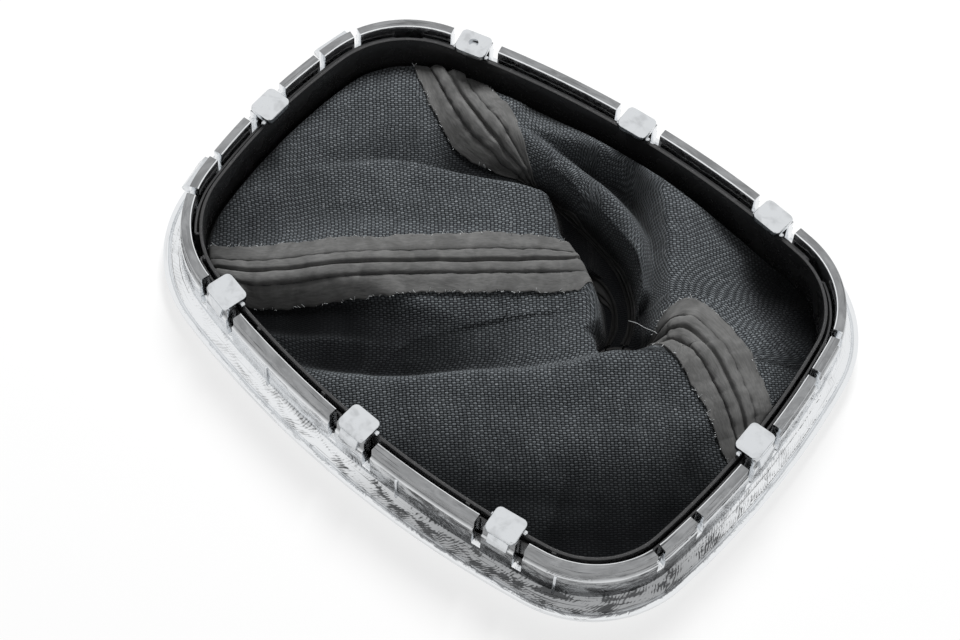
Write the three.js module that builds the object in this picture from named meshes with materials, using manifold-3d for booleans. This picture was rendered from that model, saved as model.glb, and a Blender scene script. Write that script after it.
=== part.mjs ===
// Gear lever gaiter in its plated trim frame, lying face down with its clips up.
// Units are millimetres. X runs along the frame, towards the end with the narrow slots.
// The origin is on the surface below, under the middle of the frame.
import * as THREE from 'three';
import { mergeVertices } from 'three/addons/utils/BufferGeometryUtils.js';
import Module from 'manifold-3d';

const wasm = await Module();
wasm.setup();

// Plan of the wall's inner face: four tangent bows joined by corner arcs, alike on both sides.
const half_length = 71.15;
const half_width = 52.9;
const widest_x = 13.85;
const blunt_end_radius = 214;
const round_end_radius = 155;
const side_radius = 243;
const blunt_corner_radius = 22.3;
const round_corner_radius = 25.8;

// Heights above the surface that the show face rests on.
const wall_height = 18;
const rim_height = 4.6;
const wall_foot_height = 6;
const lip_height = 2;

// Trim moulding, measured across the wall.
const wall_thickness = 2.3;
const ledge_step = 0.6;
const ledge_drop = 3;
const flange_reach = 7.5;
const rim_land = 1.2;
const rim_groove = 0.35;
const crown_land = 3;
const lip_reach = 3.2;
const edge_round = 0.35;

// Snap clips: a square head on a tongue of the wall, with a barb outside and a bar inside.
const clip_xs = [-44.6, 0, 40.4];
const head_length = 8;
const head_depth = 6.6;
const head_corner = 1.4;
const head_thickness = 1.9;
const head_rise = 1;
const clip_slot_width = 2.3;
const slot_depth = 10;
const barb_reach = 1.2;
const barb_height = 3.2;
const bar_radius = 0.6;
const bar_overhang = 0.7;
const bead_clearance = 0.35;
const dimple_radius = 1.5;
const dimple_depth = 0.5;

// Hook tabs at the round end, and the narrow slots at the blunt end.
const hook_y = 24;
const hook_length = 9;
const hook_slot_width = 1.8;
const hook_reach = 2.4;
const narrow_slot_ys = [22.7, 34.2];
const narrow_slot_width = 2;
const narrow_slot_depth = 7;
const rib_xs = [-26, 14, 54];
const rib_width = 0.7;
const rib_stand = 0.5;

// Retaining ring: an upright channel that clamps the gaiter's edge on the lip.
const ring_clearance = 0.5;
const ring_wall = 0.8;
const ring_channel = 0.6;
const ring_outer_wall = 0.6;
const ring_web = 1.2;
const ring_outer_drop = 1.2;
const ring_gap_length = 7;
const ring_gap_xs = [-60, 2, 56];

// Gaiter: three sewn panels with their seam allowances turned back.
const cloth_thickness = 1.1;
const flap_thickness = 0.8;
const flap_width = 7.2;
const flap_edge = 0.2;
const bead_width = 1.2;
const bead_share = 0.6;
const stitch_offset = 3;
const seam_gap = 0.5;
const clamp_gap = 0.3;
const edge_rise = 2.6;
const edge_blend = 0.8;
const valley_height = 4.4;
const crest_height = 13.8;
const fold_blend = 0.9;
const front_seam_x = -59;
const back_seam_x = -53;
const end_seam_y = 4;
const panel_columns = 12;
const panel_rows = 17;
const row_crowding = 1.8;

// How finely curves are followed.
const station_turn = 0.11;
const station_pitch = 9;
const halvings = 40;
const round_sides = 20;

// Neck of the gaiter: a gathered oval behind the near lip, and the flat band that hems it.
const neck_x = 31;
const neck_y = 5.6;
const neck_turn = 0.598;
const neck_half_length = 5.2;
const neck_half_width = 3.1;
const neck_height = 2.5;
const near_mouth = 1.1;
const far_mouth = 7.5;
const mouth_blend = 4;
const neck_squeeze = 0.12;
const band_inset = 0.15;
const band_width = 1.7;
const band_thickness = 0.7;
const band_sides = 28;

// Seam paths and folds as [x, y, height], in shares of half_length, half_width and crest_height.
const front_seam_path = [
  [-0.661, -0.624, 0.616], [-0.464, -0.369, 0.710], [-0.267, -0.142, 0.739], [-0.042, 0.113, 0.746],
  [0.112, 0.289, 0.739], [0.180, 0.359, 0.536], [0.242, 0.344, 0.377], [0.305, 0.280, 0.326],
  [0.351, 0.198, 0.290],
];
const back_seam_path = [
  [-0.661, 0.737, 0.761], [-0.548, 0.662, 0.812], [-0.436, 0.614, 0.725], [-0.337, 0.590, 0.471],
  [-0.197, 0.560, 0.362], [-0.042, 0.544, 0.333], [0.112, 0.510, 0.333], [0.253, 0.446, 0.333],
  [0.351, 0.340, 0.326], [0.402, 0.238, 0.290],
];
const end_seam_path = [
  [0.871, 0.170, 0.638], [0.787, 0.236, 0.768], [0.675, 0.302, 0.855], [0.562, 0.312, 0.891],
];
const near_lip = [
  [-0.337, -0.870, 0.362], [-0.211, -0.813, 0.580], [-0.028, -0.662, 0.761], [0.141, -0.454, 0.870],
  [0.295, -0.265, 0.920], [0.394, -0.113, 0.957], [0.464, 0.019, 1.000], [0.527, 0.113, 0.986],
  [0.576, 0.189, 0.928],
];
const inner_ridge = [
  [-0.394, 0.690, 0.891], [-0.253, 0.699, 0.942], [-0.084, 0.696, 0.957], [0.084, 0.665, 0.957],
  [0.211, 0.614, 0.928], [0.309, 0.510, 0.855], [0.372, 0.388, 0.688],
];
const outer_ridge = [
  [-0.253, 0.775, 0.725], [-0.169, 0.813, 0.812], [-0.042, 0.870, 0.884], [0.112, 0.888, 0.920],
  [0.239, 0.841, 0.935], [0.351, 0.728, 0.935], [0.436, 0.567, 0.928], [0.478, 0.435, 0.906],
  [0.520, 0.321, 0.891],
];
const tongue = [
  [-0.759, 0.000, 0.507], [-0.590, 0.208, 0.667], [-0.436, 0.293, 0.739], [-0.281, 0.406, 0.761],
  [-0.155, 0.473, 0.768], [-0.056, 0.480, 0.768], [0.028, 0.425, 0.761], [0.141, 0.355, 0.746],
  [0.267, 0.270, 0.725], [0.337, 0.180, 0.696], [0.379, 0.066, 0.667],
];

const plated = new THREE.MeshStandardMaterial({ color: 0xd9dcdf, roughness: 0.08, metalness: 1 });
const gloss_black = new THREE.MeshStandardMaterial({ color: 0x0b0b0c, roughness: 0.2 });
const woven = new THREE.MeshStandardMaterial({ color: 0x33373a, roughness: 0.9 });
const leatherette = new THREE.MeshStandardMaterial({ color: 0x3a3a3b, roughness: 0.6 });

// Two circles touch inside where a corner arc meets a bow: the corner's centre follows.
function cornerCentre(bow, end, corner_radius) {
  const reach = bow.radius - corner_radius;
  const span = end.radius - corner_radius;
  const dx = end.x - bow.x;
  const dy = end.y - bow.y;
  const distance = Math.hypot(dx, dy);
  const along_line = (distance ** 2 + reach ** 2 - span ** 2) / (2 * distance);
  const off_line = Math.sqrt(reach ** 2 - along_line ** 2);
  const side = dx > 0 ? 1 : -1;
  const x = bow.x + (along_line * dx - side * off_line * dy) / distance;
  const y = bow.y + (along_line * dy + side * off_line * dx) / distance;
  return { x, y, radius: corner_radius };
}

// The closed outline as arcs that turn anticlockwise from the blunt end.
function outlineArcs() {
  const side = { x: widest_x, y: half_width - side_radius, radius: side_radius };
  const blunt = { x: half_length - blunt_end_radius, y: 0, radius: blunt_end_radius };
  const round = { x: round_end_radius - half_length, y: 0, radius: round_end_radius };
  const blunt_corner = cornerCentre(side, blunt, blunt_corner_radius);
  const round_corner = cornerCentre(side, round, round_corner_radius);
  const heading = (from, to) => Math.atan2(to.y - from.y, to.x - from.x);
  const a = heading(blunt, blunt_corner);
  const b = heading(side, blunt_corner);
  const c = heading(side, round_corner);
  const d = heading(round, round_corner);
  const upper = [
    { ...blunt, from: 0, to: a },
    { ...blunt_corner, from: a, to: b },
    { ...side, from: b, to: c },
    { ...round_corner, from: c, to: d },
    { ...round, from: d, to: Math.PI },
  ];
  const lower = upper.map((arc) => ({ ...arc, y: -arc.y, from: -arc.to, to: -arc.from })).reverse();
  let start = 0;
  return [...upper, ...lower].map((arc) => {
    const placed = { ...arc, start, length: arc.radius * (arc.to - arc.from) };
    start += placed.length;
    return placed;
  });
}

const arcs = outlineArcs();
const perimeter = arcs.reduce((sum, arc) => sum + arc.length, 0);

// A point of the outline at a run along it, moved outwards by an offset, with its outward heading.
function onOutline(run, offset = 0) {
  const wrapped = ((run % perimeter) + perimeter) % perimeter;
  const arc = arcs.find((each) => wrapped <= each.start + each.length) ?? arcs.at(-1);
  const heading = arc.from + (wrapped - arc.start) / arc.radius;
  const reach = arc.radius + offset;
  return { x: arc.x + reach * Math.cos(heading), y: arc.y + reach * Math.sin(heading), heading };
}

// Where a plan point lies against the wall's inner face: its offset is below zero when inside.
function againstWall(x, y) {
  const turn = (angle, from) => (((angle - from) % (2 * Math.PI)) + 2 * Math.PI) % (2 * Math.PI);
  return arcs.reduce((nearest, arc) => {
    const heading = Math.atan2(y - arc.y, x - arc.x);
    const offset = Math.hypot(x - arc.x, y - arc.y) - arc.radius;
    const faces_it = turn(heading, arc.from) <= arc.to - arc.from + 1e-9;
    return faces_it && offset > nearest.offset ? { arc, heading, offset } : nearest;
  }, { offset: -half_width });
}
const outsideBy = (x, y) => againstWall(x, y).offset;

// Moves a plan point square to the wall until it is at an offset.
function atOffset({ x, y }, offset) {
  const { arc, heading } = againstWall(x, y);
  const reach = arc.radius + offset;
  return { x: arc.x + reach * Math.cos(heading), y: arc.y + reach * Math.sin(heading) };
}

// Where in a range a test turns true, found by halving the range.
function whereTrue(low, high, test) {
  let [below, above] = [low, high];
  for (let step = 0; step < halvings; step += 1) {
    const middle = (below + above) / 2;
    if (test(middle)) above = middle;
    else below = middle;
  }
  return below;
}

// The run along the outline where its far side passes an x, or where an end passes a y.
const runAt = (reached) => whereTrue(0, perimeter / 2, (run) => reached(onOutline(run)));
const runAtX = (x) => runAt((point) => point.x < x);
const runAtBluntY = (y) => runAt((point) => point.y > y || point.x < widest_x);
const runAtRoundY = (y) => runAt((point) => point.y < y && point.x < widest_x);
const mirrored = (run) => perimeter - run;

// Runs with a station every few degrees of turn, closer on the corners.
function stations() {
  return arcs.flatMap((arc) => {
    const steps = Math.ceil(Math.max((arc.to - arc.from) / station_turn, arc.length / station_pitch));
    return Array.from({ length: steps }, (_, i) => arc.start + (arc.length * i) / steps);
  });
}

function geometryFrom(positions, indices) {
  const geometry = new THREE.BufferGeometry();
  geometry.setAttribute('position', new THREE.Float32BufferAttribute(positions, 3));
  geometry.setIndex(indices);
  return geometry;
}

// A closed profile of [offset, height] pairs carried once round the outline.
function sweepRound(profile) {
  const runs = stations();
  const positions = [];
  const indices = [];
  const across = profile.length;
  runs.forEach((run, i) => {
    const next = ((i + 1) % runs.length) * across;
    profile.forEach(([offset, height], j) => {
      const point = onOutline(run, offset);
      positions.push(point.x, point.y, height);
      const side = (j + 1) % across;
      indices.push(i * across + j, next + j, next + side, i * across + j, next + side, i * across + side);
    });
  });
  return geometryFrom(positions, indices);
}

function toSolid(geometry) {
  const bare = geometry.clone();
  bare.deleteAttribute('normal');
  bare.deleteAttribute('uv');
  const merged = mergeVertices(bare, 1e-5);
  const vertProperties = new Float32Array(merged.attributes.position.array);
  const triVerts = new Uint32Array(merged.index.array);
  return new wasm.Manifold(new wasm.Mesh({ numProp: 3, vertProperties, triVerts }));
}

function toGeometry(solid) {
  const mesh = solid.getMesh();
  return geometryFrom(Array.from(mesh.vertProperties), Array.from(mesh.triVerts));
}

// Places a shape made along X, with Y outwards, square to the wall at a run.
function atWall(geometry, run, offset = 0, height = 0) {
  const { x, y, heading } = onOutline(run, offset);
  const turn = new THREE.Matrix4().makeRotationZ(heading - Math.PI / 2);
  const placed = new THREE.Matrix4().makeTranslation(x, y, height).multiply(turn);
  return geometry.clone().applyMatrix4(placed);
}

// A block standing across the wall: its length runs along the wall.
function wallBlock(run, length, inner, outer, bottom, top) {
  const box = new THREE.BoxGeometry(length, outer - inner, top - bottom);
  return toSolid(atWall(box, run, (inner + outer) / 2, (bottom + top) / 2));
}

// A profile of [offset, height] pairs given a length along the wall.
function wallWedge(run, length, profile) {
  const shape = new THREE.Shape(profile.map(([offset, height]) => new THREE.Vector2(offset, height)));
  const wedge = new THREE.ExtrudeGeometry(shape, { depth: length, bevelEnabled: false });
  wedge.translate(0, 0, -length / 2);
  wedge.applyMatrix4(new THREE.Matrix4().makeBasis(
    new THREE.Vector3(0, 1, 0), new THREE.Vector3(0, 0, 1), new THREE.Vector3(1, 0, 0)));
  return toSolid(atWall(wedge, run));
}

function roundedRectangle(length, depth, corner) {
  const shape = new THREE.Shape();
  const x = length / 2 - corner;
  const y = depth / 2 - corner;
  shape.absarc(x, y, corner, 0, Math.PI / 2);
  shape.absarc(-x, y, corner, Math.PI / 2, Math.PI);
  shape.absarc(-x, -y, corner, Math.PI, 1.5 * Math.PI);
  shape.absarc(x, -y, corner, 1.5 * Math.PI, 2 * Math.PI);
  return shape;
}

const head_top = wall_height + head_rise;
const head_underside = head_top - head_thickness;
const ledge_height = wall_height - ledge_drop;
const slot_floor = wall_height - slot_depth;
const wall_foot = wall_thickness + ledge_step;

// The moulding's own section: show face below, flange and rim outside, wall up, lip inside.
function trimSection() {
  const rim_inner = flange_reach - rim_land;
  const bowl = 0.3 * rim_height;
  return [
    [0, wall_height - edge_round],
    [0, lip_height],
    [-lip_reach, lip_height],
    [-lip_reach, lip_height / 2],
    [-lip_reach + lip_height / 2, lip_height / 8],
    [-lip_reach + lip_height, 0],
    [-lip_reach + lip_height + crown_land, 0],
    [flange_reach - 2 * bowl, bowl / 4],
    [flange_reach - bowl, bowl],
    [flange_reach - bowl / 5, 2 * bowl],
    [flange_reach, rim_height - edge_round],
    [flange_reach - edge_round, rim_height],
    [rim_inner, rim_height],
    [rim_inner - rim_groove, rim_height - rim_groove],
    [rim_inner - 2 * rim_groove, rim_height + rim_groove],
    [wall_foot + 2 * edge_round, wall_foot_height - edge_round],
    [wall_foot, wall_foot_height + edge_round],
    [wall_foot, ledge_height - edge_round],
    [wall_thickness, ledge_height],
    [wall_thickness, wall_height - edge_round],
    [wall_thickness - edge_round, wall_height],
    [edge_round, wall_height],
  ];
}

// The barb swells outwards from under the top down to a ledge that catches the console's edge.
function barb(run, length, reach) {
  const root = wall_thickness - 2 * edge_round;
  const catch_height = head_underside - barb_height;
  return wallWedge(run, length, [
    [root, catch_height - edge_round],
    [wall_thickness + reach, catch_height],
    [wall_thickness + reach, catch_height + 2 * edge_round],
    [wall_thickness + reach / 3, wall_height - 2 * edge_round],
    [root, wall_height - edge_round],
  ]);
}

const ring_top = head_underside - 2 * bar_radius - bead_clearance + edge_round;
const ring_inner = -(ring_clearance + ring_outer_wall + ring_channel + ring_wall);

// One clip's head: its inner part reaches over the ring, and the bar under it holds the ring down.
function clipHead(run) {
  const plate = new THREE.ExtrudeGeometry(roundedRectangle(head_length, head_depth, head_corner), {
    depth: head_thickness - edge_round,
    bevelThickness: edge_round,
    bevelSize: edge_round,
    bevelOffset: -edge_round,
    bevelSegments: 1,
    curveSegments: 3,
  });
  const middle = wall_thickness + edge_round - head_depth / 2;
  const head = toSolid(atWall(plate, run, middle, head_underside));
  const bar_length = head_length + 2 * bar_overhang - 2 * bar_radius;
  const bar = new THREE.CapsuleGeometry(bar_radius, bar_length, 3, 8).rotateZ(Math.PI / 2);
  const bar_height = head_underside - bar_radius + edge_round;
  return head.add(toSolid(atWall(bar, run, ring_inner + ring_wall / 2, bar_height)));
}

function dimple(run) {
  const cup = new THREE.CylinderGeometry(dimple_radius, dimple_radius, 2 * dimple_depth, round_sides);
  cup.rotateX(Math.PI / 2);
  return toSolid(atWall(cup, run, wall_thickness + edge_round - head_depth / 2, head_top));
}

// Cuts the slots that free a tongue of the wall on both its sides.
function freeTongue(frame, run, length, slot_width, depth) {
  const apart = (length + slot_width) / 2;
  return [-apart, apart].reduce((left, shift) => left.subtract(wallBlock(
    run + shift, slot_width, -edge_round, wall_foot + barb_reach, wall_height - depth, head_top + 1)), frame);
}

function clipRuns() {
  const sides = clip_xs.flatMap((x) => [runAtX(x), mirrored(runAtX(x))]);
  return [0, perimeter / 2, ...sides];
}

function buildTrimFrame() {
  let frame = toSolid(sweepRound(trimSection()));
  for (const run of clipRuns()) {
    frame = freeTongue(frame, run, head_length, clip_slot_width, slot_depth);
    frame = frame.add(clipHead(run)).add(barb(run, head_length - 2 * head_corner, barb_reach));
  }
  frame = frame.subtract(dimple(runAtX(clip_xs[0])));
  for (const run of [runAtRoundY(hook_y), mirrored(runAtRoundY(hook_y))]) {
    frame = freeTongue(frame, run, hook_length, hook_slot_width, slot_depth);
    frame = frame.add(barb(run, hook_length, hook_reach));
  }
  const cut_top = head_top + 1;
  for (const y of narrow_slot_ys) {
    for (const run of [runAtBluntY(y), mirrored(runAtBluntY(y))]) {
      frame = frame.subtract(wallBlock(run, narrow_slot_width, -edge_round, wall_foot + edge_round,
        wall_height - narrow_slot_depth, cut_top));
    }
  }
  for (const x of rib_xs) {
    for (const run of [runAtX(x), mirrored(runAtX(x))]) {
      frame = frame.add(wallBlock(run, rib_width, wall_foot / 2, wall_foot + rib_stand,
        wall_foot_height - 2 * rib_stand, ledge_height - 2 * edge_round));
    }
  }
  return toGeometry(frame);
}

const clamp_height = lip_height + clamp_gap + cloth_thickness;
const ring_bottom = clamp_height + clamp_gap;

function buildRetainingRing() {
  const outer = -ring_clearance;
  const outer_in = outer - ring_outer_wall;
  const inner_out = ring_inner + ring_wall;
  const outer_top = ring_top - ring_outer_drop;
  const web_top = ring_bottom + ring_web;
  let ring = toSolid(sweepRound([
    [ring_inner, ring_top],
    [ring_inner, ring_bottom],
    [outer, ring_bottom],
    [outer, outer_top],
    [outer_in, outer_top],
    [outer_in, web_top],
    [inner_out, web_top],
    [inner_out, ring_top],
  ]));
  for (const x of ring_gap_xs) {
    for (const run of [runAtX(x), mirrored(runAtX(x))]) {
      ring = ring.subtract(wallBlock(run, ring_gap_length, inner_out, wall_thickness, web_top, ring_top));
      for (const shift of [-ring_gap_length / 2, ring_gap_length / 2]) {
        ring = ring.add(wallBlock(run + shift, ring_outer_wall, inner_out - ring_wall / 2,
          outer_in + ring_outer_wall / 2, web_top - ring_web / 2, outer_top));
      }
    }
  }
  return toGeometry(ring);
}

const inFrame = ([x, y, z]) => new THREE.Vector3(x * half_length, y * half_width, z * crest_height);

// A fold is a round crest along a path, falling away to its left and right.
function fold(path, roundness, left_slope, right_slope) {
  const points = new THREE.CatmullRomCurve3(path.map(inFrame)).getPoints(2 * panel_columns);
  return { points, roundness: roundness * crest_height, left_slope, right_slope };
}

function foldHeight({ points, roundness, left_slope, right_slope }, x, y) {
  let best = { distance: Infinity };
  for (let i = 1; i < points.length; i += 1) {
    const start = points[i - 1];
    const dx = points[i].x - start.x;
    const dy = points[i].y - start.y;
    const share = ((x - start.x) * dx + (y - start.y) * dy) / (dx * dx + dy * dy);
    const t = Math.min(1, Math.max(0, share));
    const distance = Math.hypot(x - start.x - t * dx, y - start.y - t * dy);
    if (distance < best.distance) {
      const side = dx * (y - start.y) - dy * (x - start.x);
      best = { distance, crest: start.z + t * (points[i].z - start.z), side };
    }
  }
  const slope = best.side > 0 ? left_slope : right_slope;
  return best.crest - slope * (Math.hypot(best.distance, roundness) - roundness);
}

const folds = [
  fold([[-0.815, -0.7, 0.435], ...front_seam_path.slice(0, 5)], 0.65, 0.35, 0.6),
  fold([[-0.759, 0.794, 0.58], ...back_seam_path.slice(0, 2), [-0.46, 0.66, 0.855], inner_ridge[0]],
    0.36, 0.45, 1.2),
  fold([[0.928, 0.113, 0.507], ...end_seam_path], 0.58, 0.4, 0.5),
  fold(near_lip, 0.19, 2.4, 0.38),
  fold(inner_ridge, 0.2, 2.6, 1.9),
  fold(outer_ridge, 0.23, 0.42, 1.25),
  fold(tongue, 0.095, 3.2, 0.14),
];

// A plan point on the neck's oval, at a turn round it, with the oval grown outwards.
function neckPoint(turn, grown = 0) {
  const along = (neck_half_length + grown) * Math.cos(turn);
  const deep = (neck_half_width + grown) * Math.sin(turn);
  const [c, s] = [Math.cos(neck_turn), Math.sin(neck_turn)];
  return { x: neck_x + along * c - deep * s, y: neck_y + along * s + deep * c };
}

const bandTurns = () => Array.from({ length: band_sides }, (_, i) => (2 * Math.PI * i) / band_sides);

// How far a plan point lies outside the neck's oval, its turn round it, and its side of it.
function fromNeck({ x, y }) {
  const [c, s] = [Math.cos(neck_turn), Math.sin(neck_turn)];
  const along = (x - neck_x) * c + (y - neck_y) * s;
  const deep = (y - neck_y) * c - (x - neck_x) * s;
  const away = whereTrue(-neck_half_width * 0.99, 2 * half_length,
    (grown) => Math.hypot(along / (neck_half_length + grown), deep / (neck_half_width + grown)) < 1);
  return { away, deep, turn: Math.atan2(deep / (neck_half_width + away), along / (neck_half_length + away)) };
}

const smooth = (from, to, value) => THREE.MathUtils.smoothstep(value, from, to);
const panel_offset = ring_inner - clamp_gap;

function softLeast(a, b) {
  const share = THREE.MathUtils.clamp(0.5 + (b - a) / (2 * edge_blend), 0, 1);
  return b + (a - b) * share - (edge_blend * share * (1 - share)) / 2;
}

// Height of the cloth's upper face: the folds run together, tucked in at the ring and the neck.
function clothHeight(x, y) {
  const heights = [valley_height, ...folds.map((each) => foldHeight(each, x, y))];
  const blended = fold_blend * Math.log(heights.reduce((sum, z) => sum + Math.exp(z / fold_blend), 0));
  const inside = Math.max(0, panel_offset - outsideBy(x, y));
  const rising = softLeast(blended, clamp_height + edge_rise * inside);
  const { away, deep } = fromNeck({ x, y });
  const mouth = near_mouth + (far_mouth - near_mouth) * smooth(0, mouth_blend, deep);
  return neck_height + (rising - neck_height) * smooth(0, mouth, away);
}

// Height of the lower face: as far from the upper one as the cloth is thick, also where that is steep.
function clothUnderside(x, y) {
  let lowest = clothHeight(x, y) - cloth_thickness;
  for (const reach of [0.5, 0.8, 0.95, 1].map((share) => share * cloth_thickness)) {
    const drop = Math.sqrt(cloth_thickness ** 2 - reach ** 2);
    for (let i = 0; i < panel_columns; i += 1) {
      const turn = (2 * Math.PI * i) / panel_columns;
      const beside = clothHeight(x + reach * Math.cos(turn), y + reach * Math.sin(turn));
      lowest = Math.min(lowest, beside - drop);
    }
  }
  return lowest;
}

// Where a seam crosses the ring as a run, its plan points, where it meets the neck as a turn, and
// the shares of its path between which the allowances on its left and its right narrow.
const seams = {
  front: {
    run: mirrored(runAtX(front_seam_x)), path: front_seam_path, neck: 2.3,
    left: [0.42, 0.62], right: [0.62, 0.8],
  },
  back: {
    run: runAtX(back_seam_x), path: back_seam_path, neck: 1.45, left: [0.3, 0.46], right: [0.3, 0.46],
  },
  end: {
    run: runAtBluntY(end_seam_y), path: end_seam_path, neck: 0.3, left: [0.8, 1.1], right: [0.8, 1.1],
  },
};

// A distance beside a seam, crowded in towards the seam but never closer than the gap's edge.
function crowded(distance, squeeze) {
  const edge = seam_gap / 2;
  return Math.sign(distance) * (edge + squeeze * (Math.abs(distance) - edge));
}

// A line beside a seam, at a distance to its left as it runs from the ring to the neck.
function besideSeam(seam, distance) {
  const flat = ({ x, y }) => new THREE.Vector3(x, y, 0);
  const middle = new THREE.CatmullRomCurve3(
    [onOutline(seam.run, panel_offset), ...seam.path.map(inFrame), neckPoint(seam.neck)].map(flat));
  const shifted = seam.path.map((_, i) => {
    const t = (i + 1) / (seam.path.length + 1);
    const point = middle.getPoint(t);
    const way = middle.getTangent(t);
    const narrowed = smooth(...(distance > 0 ? seam.left : seam.right), t);
    const away = crowded(distance, 1 - (1 - neck_squeeze) * narrowed);
    return { x: point.x - away * way.y, y: point.y + away * way.x };
  });
  const oval = (neck_half_length + neck_half_width) / 2;
  const at_neck = neckPoint(seam.neck - crowded(distance, neck_squeeze) / oval);
  const on_ring = onOutline(seam.run - distance, panel_offset);
  return new THREE.CatmullRomCurve3([on_ring, ...shifted, at_neck].map(flat));
}

// How far the ring is outside the neck's oval at a turn.
const ringReach = (turn) => whereTrue(0, 2 * half_length, (grown) => {
  const { x, y } = neckPoint(turn, grown);
  return outsideBy(x, y) > panel_offset;
});
const least_reach = Math.min(...bandTurns().map(ringReach));

// Levels run from 0 at the neck to 1 at the ring: even steps near the neck, fitted to the ring further out.
const atLevel = (level, reach) => least_reach * level + (reach - least_reach) * level ** 3;

const wrapped = (turn, near) => turn - 2 * Math.PI * Math.round((turn - near) / (2 * Math.PI));

// The turns of a line at each level, found from the neck outwards.
function turnsByLevel(curve, neck, levels) {
  const found = [];
  for (const point of curve.getPoints(8 * panel_columns).reverse()) {
    const { away, turn } = fromNeck(point);
    const near = wrapped(turn, found.length ? found.at(-1).turn : neck);
    const reach = ringReach(near);
    found.push({ turn: near, level: whereTrue(0, 1, (level) => atLevel(level, reach) > away) });
  }
  return levels.map((level) => {
    const next = found.findIndex((each) => each.level >= level);
    if (next < 1) return found.at(next).turn;
    const [a, b] = [found[next - 1], found[next]];
    return a.turn + ((level - a.level) / (b.level - a.level)) * (b.turn - a.turn);
  });
}

// Plan points of one panel: columns beside each seam, and evenly spread ones between them.
function panelPlan(first, last) {
  const beside = [seam_gap / 2, bead_width, stitch_offset, flap_width, flap_width + flap_edge];
  const levels = Array.from({ length: panel_rows },
    (_, i) => Math.cos((Math.PI / 2) * (i / (panel_rows - 1))) ** row_crowding);
  const last_neck = last.neck > first.neck ? last.neck : last.neck + 2 * Math.PI;
  const left = beside.map((distance) => (
    { distance, turns: turnsByLevel(besideSeam(first, -distance), first.neck, levels) }));
  const right = beside.map((distance) => (
    { distance, turns: turnsByLevel(besideSeam(last, distance), last_neck, levels) })).reverse();
  const edge = flap_width + flap_edge;
  const run_gap = (last.run - first.run + perimeter) % perimeter;
  const [low, high] = [left.at(-1).turns, right[0].turns];
  const between = Array.from({ length: panel_columns - 1 }, (_, i) => {
    const u = (i + 1) / panel_columns;
    const on_ring = fromNeck(onOutline(first.run + edge + u * (run_gap - 2 * edge), panel_offset));
    const at_ring = (wrapped(on_ring.turn, low[0] + u * (high[0] - low[0])) - low[0]) / (high[0] - low[0]);
    return { distance: Infinity, turns: levels.map((level, j) => (
      low[j] + (high[j] - low[j]) * (level * at_ring + (1 - level) * u))) };
  });
  return [...left, ...between, ...right].map(({ distance, turns }) => {
    const points = turns.map((turn, j) => neckPoint(turn, atLevel(levels[j], ringReach(turn))));
    const clamped = [-ring_clearance - ring_outer_wall, ring_inner - clamp_gap / 2]
      .map((offset) => ({ ...atOffset(points[0], offset), clamped: true }));
    return [...clamped, ...points.map((point) => ({ ...point, distance }))];
  });
}

// Extra height of the turned-back seam allowance, which starts a row inside the ring.
function flapRise(distance, row) {
  const height = distance < bead_width ? bead_share * flap_thickness : flap_thickness;
  const rows_in = row - 3;
  return distance > flap_width ? 0 : height * THREE.MathUtils.clamp(rows_in / 2, 0, 1);
}

function buildPanel(first, last) {
  const columns = panelPlan(first, last);
  const count = columns.length;
  const rows = columns[0].length;
  const positions = [];
  const indices = [];
  columns.forEach((column) => column.forEach(({ x, y, distance, clamped }, row) => {
    const top = clamped ? clamp_height : clothHeight(x, y) + flapRise(distance, row);
    const bottom = clamped ? clamp_height - cloth_thickness : clothUnderside(x, y);
    positions.push(x, y, top, x, y, bottom);
  }));
  const at = (column, row, under) => 2 * (column * rows + row) + under;
  const quad = (a, b, c, d) => indices.push(a, b, c, a, c, d);
  for (let i = 0; i + 1 < count; i += 1) {
    for (let j = 0; j + 1 < rows; j += 1) {
      quad(at(i, j, 0), at(i + 1, j, 0), at(i + 1, j + 1, 0), at(i, j + 1, 0));
      quad(at(i, j, 1), at(i, j + 1, 1), at(i + 1, j + 1, 1), at(i + 1, j, 1));
    }
    quad(at(i, 0, 1), at(i + 1, 0, 1), at(i + 1, 0, 0), at(i, 0, 0));
    quad(at(i, rows - 1, 0), at(i + 1, rows - 1, 0), at(i + 1, rows - 1, 1), at(i, rows - 1, 1));
  }
  for (let j = 0; j + 1 < rows; j += 1) {
    quad(at(0, j, 0), at(0, j + 1, 0), at(0, j + 1, 1), at(0, j, 1));
    quad(at(count - 1, j, 1), at(count - 1, j + 1, 1), at(count - 1, j + 1, 0), at(count - 1, j, 0));
  }
  return geometryFrom(positions, indices);
}

// The hem band is a flat oval ring under the panels' ends.
function buildNeckBand() {
  const top = neck_height - cloth_thickness - clamp_gap;
  const section = [[band_inset, top - band_thickness], [band_inset + band_width, top - band_thickness],
    [band_inset + band_width, top], [band_inset, top]];
  const positions = [];
  const indices = [];
  bandTurns().forEach((turn, i) => {
    const next = (i + 1) % band_sides;
    section.forEach(([grown, z], j) => {
      const { x, y } = neckPoint(turn, grown);
      positions.push(x, y, z);
      const corner = (j + 1) % section.length;
      const [a, b, c, d] = [[i, j], [next, j], [next, corner], [i, corner]]
        .map(([side, k]) => side * section.length + k);
      indices.push(a, b, c, a, c, d);
    });
  });
  return geometryFrom(positions, indices);
}

const model = new THREE.Group();

function addPart(name, geometry, material) {
  const mesh = new THREE.Mesh(geometry, material);
  mesh.name = name;
  model.add(mesh);
  return mesh;
}

addPart('trim_frame', buildTrimFrame(), plated);
addPart('retaining_ring', buildRetainingRing(), gloss_black);
addPart('front_panel', buildPanel(seams.front, seams.end), woven);
addPart('back_panel', buildPanel(seams.end, seams.back), woven);
addPart('end_panel', buildPanel(seams.back, seams.front), woven);
addPart('neck_band', buildNeckBand(), leatherette);

export default model;
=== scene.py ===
import logging
import math
from dataclasses import dataclass, field
from enum import Enum
from typing import Any, Callable, Sequence

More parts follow.
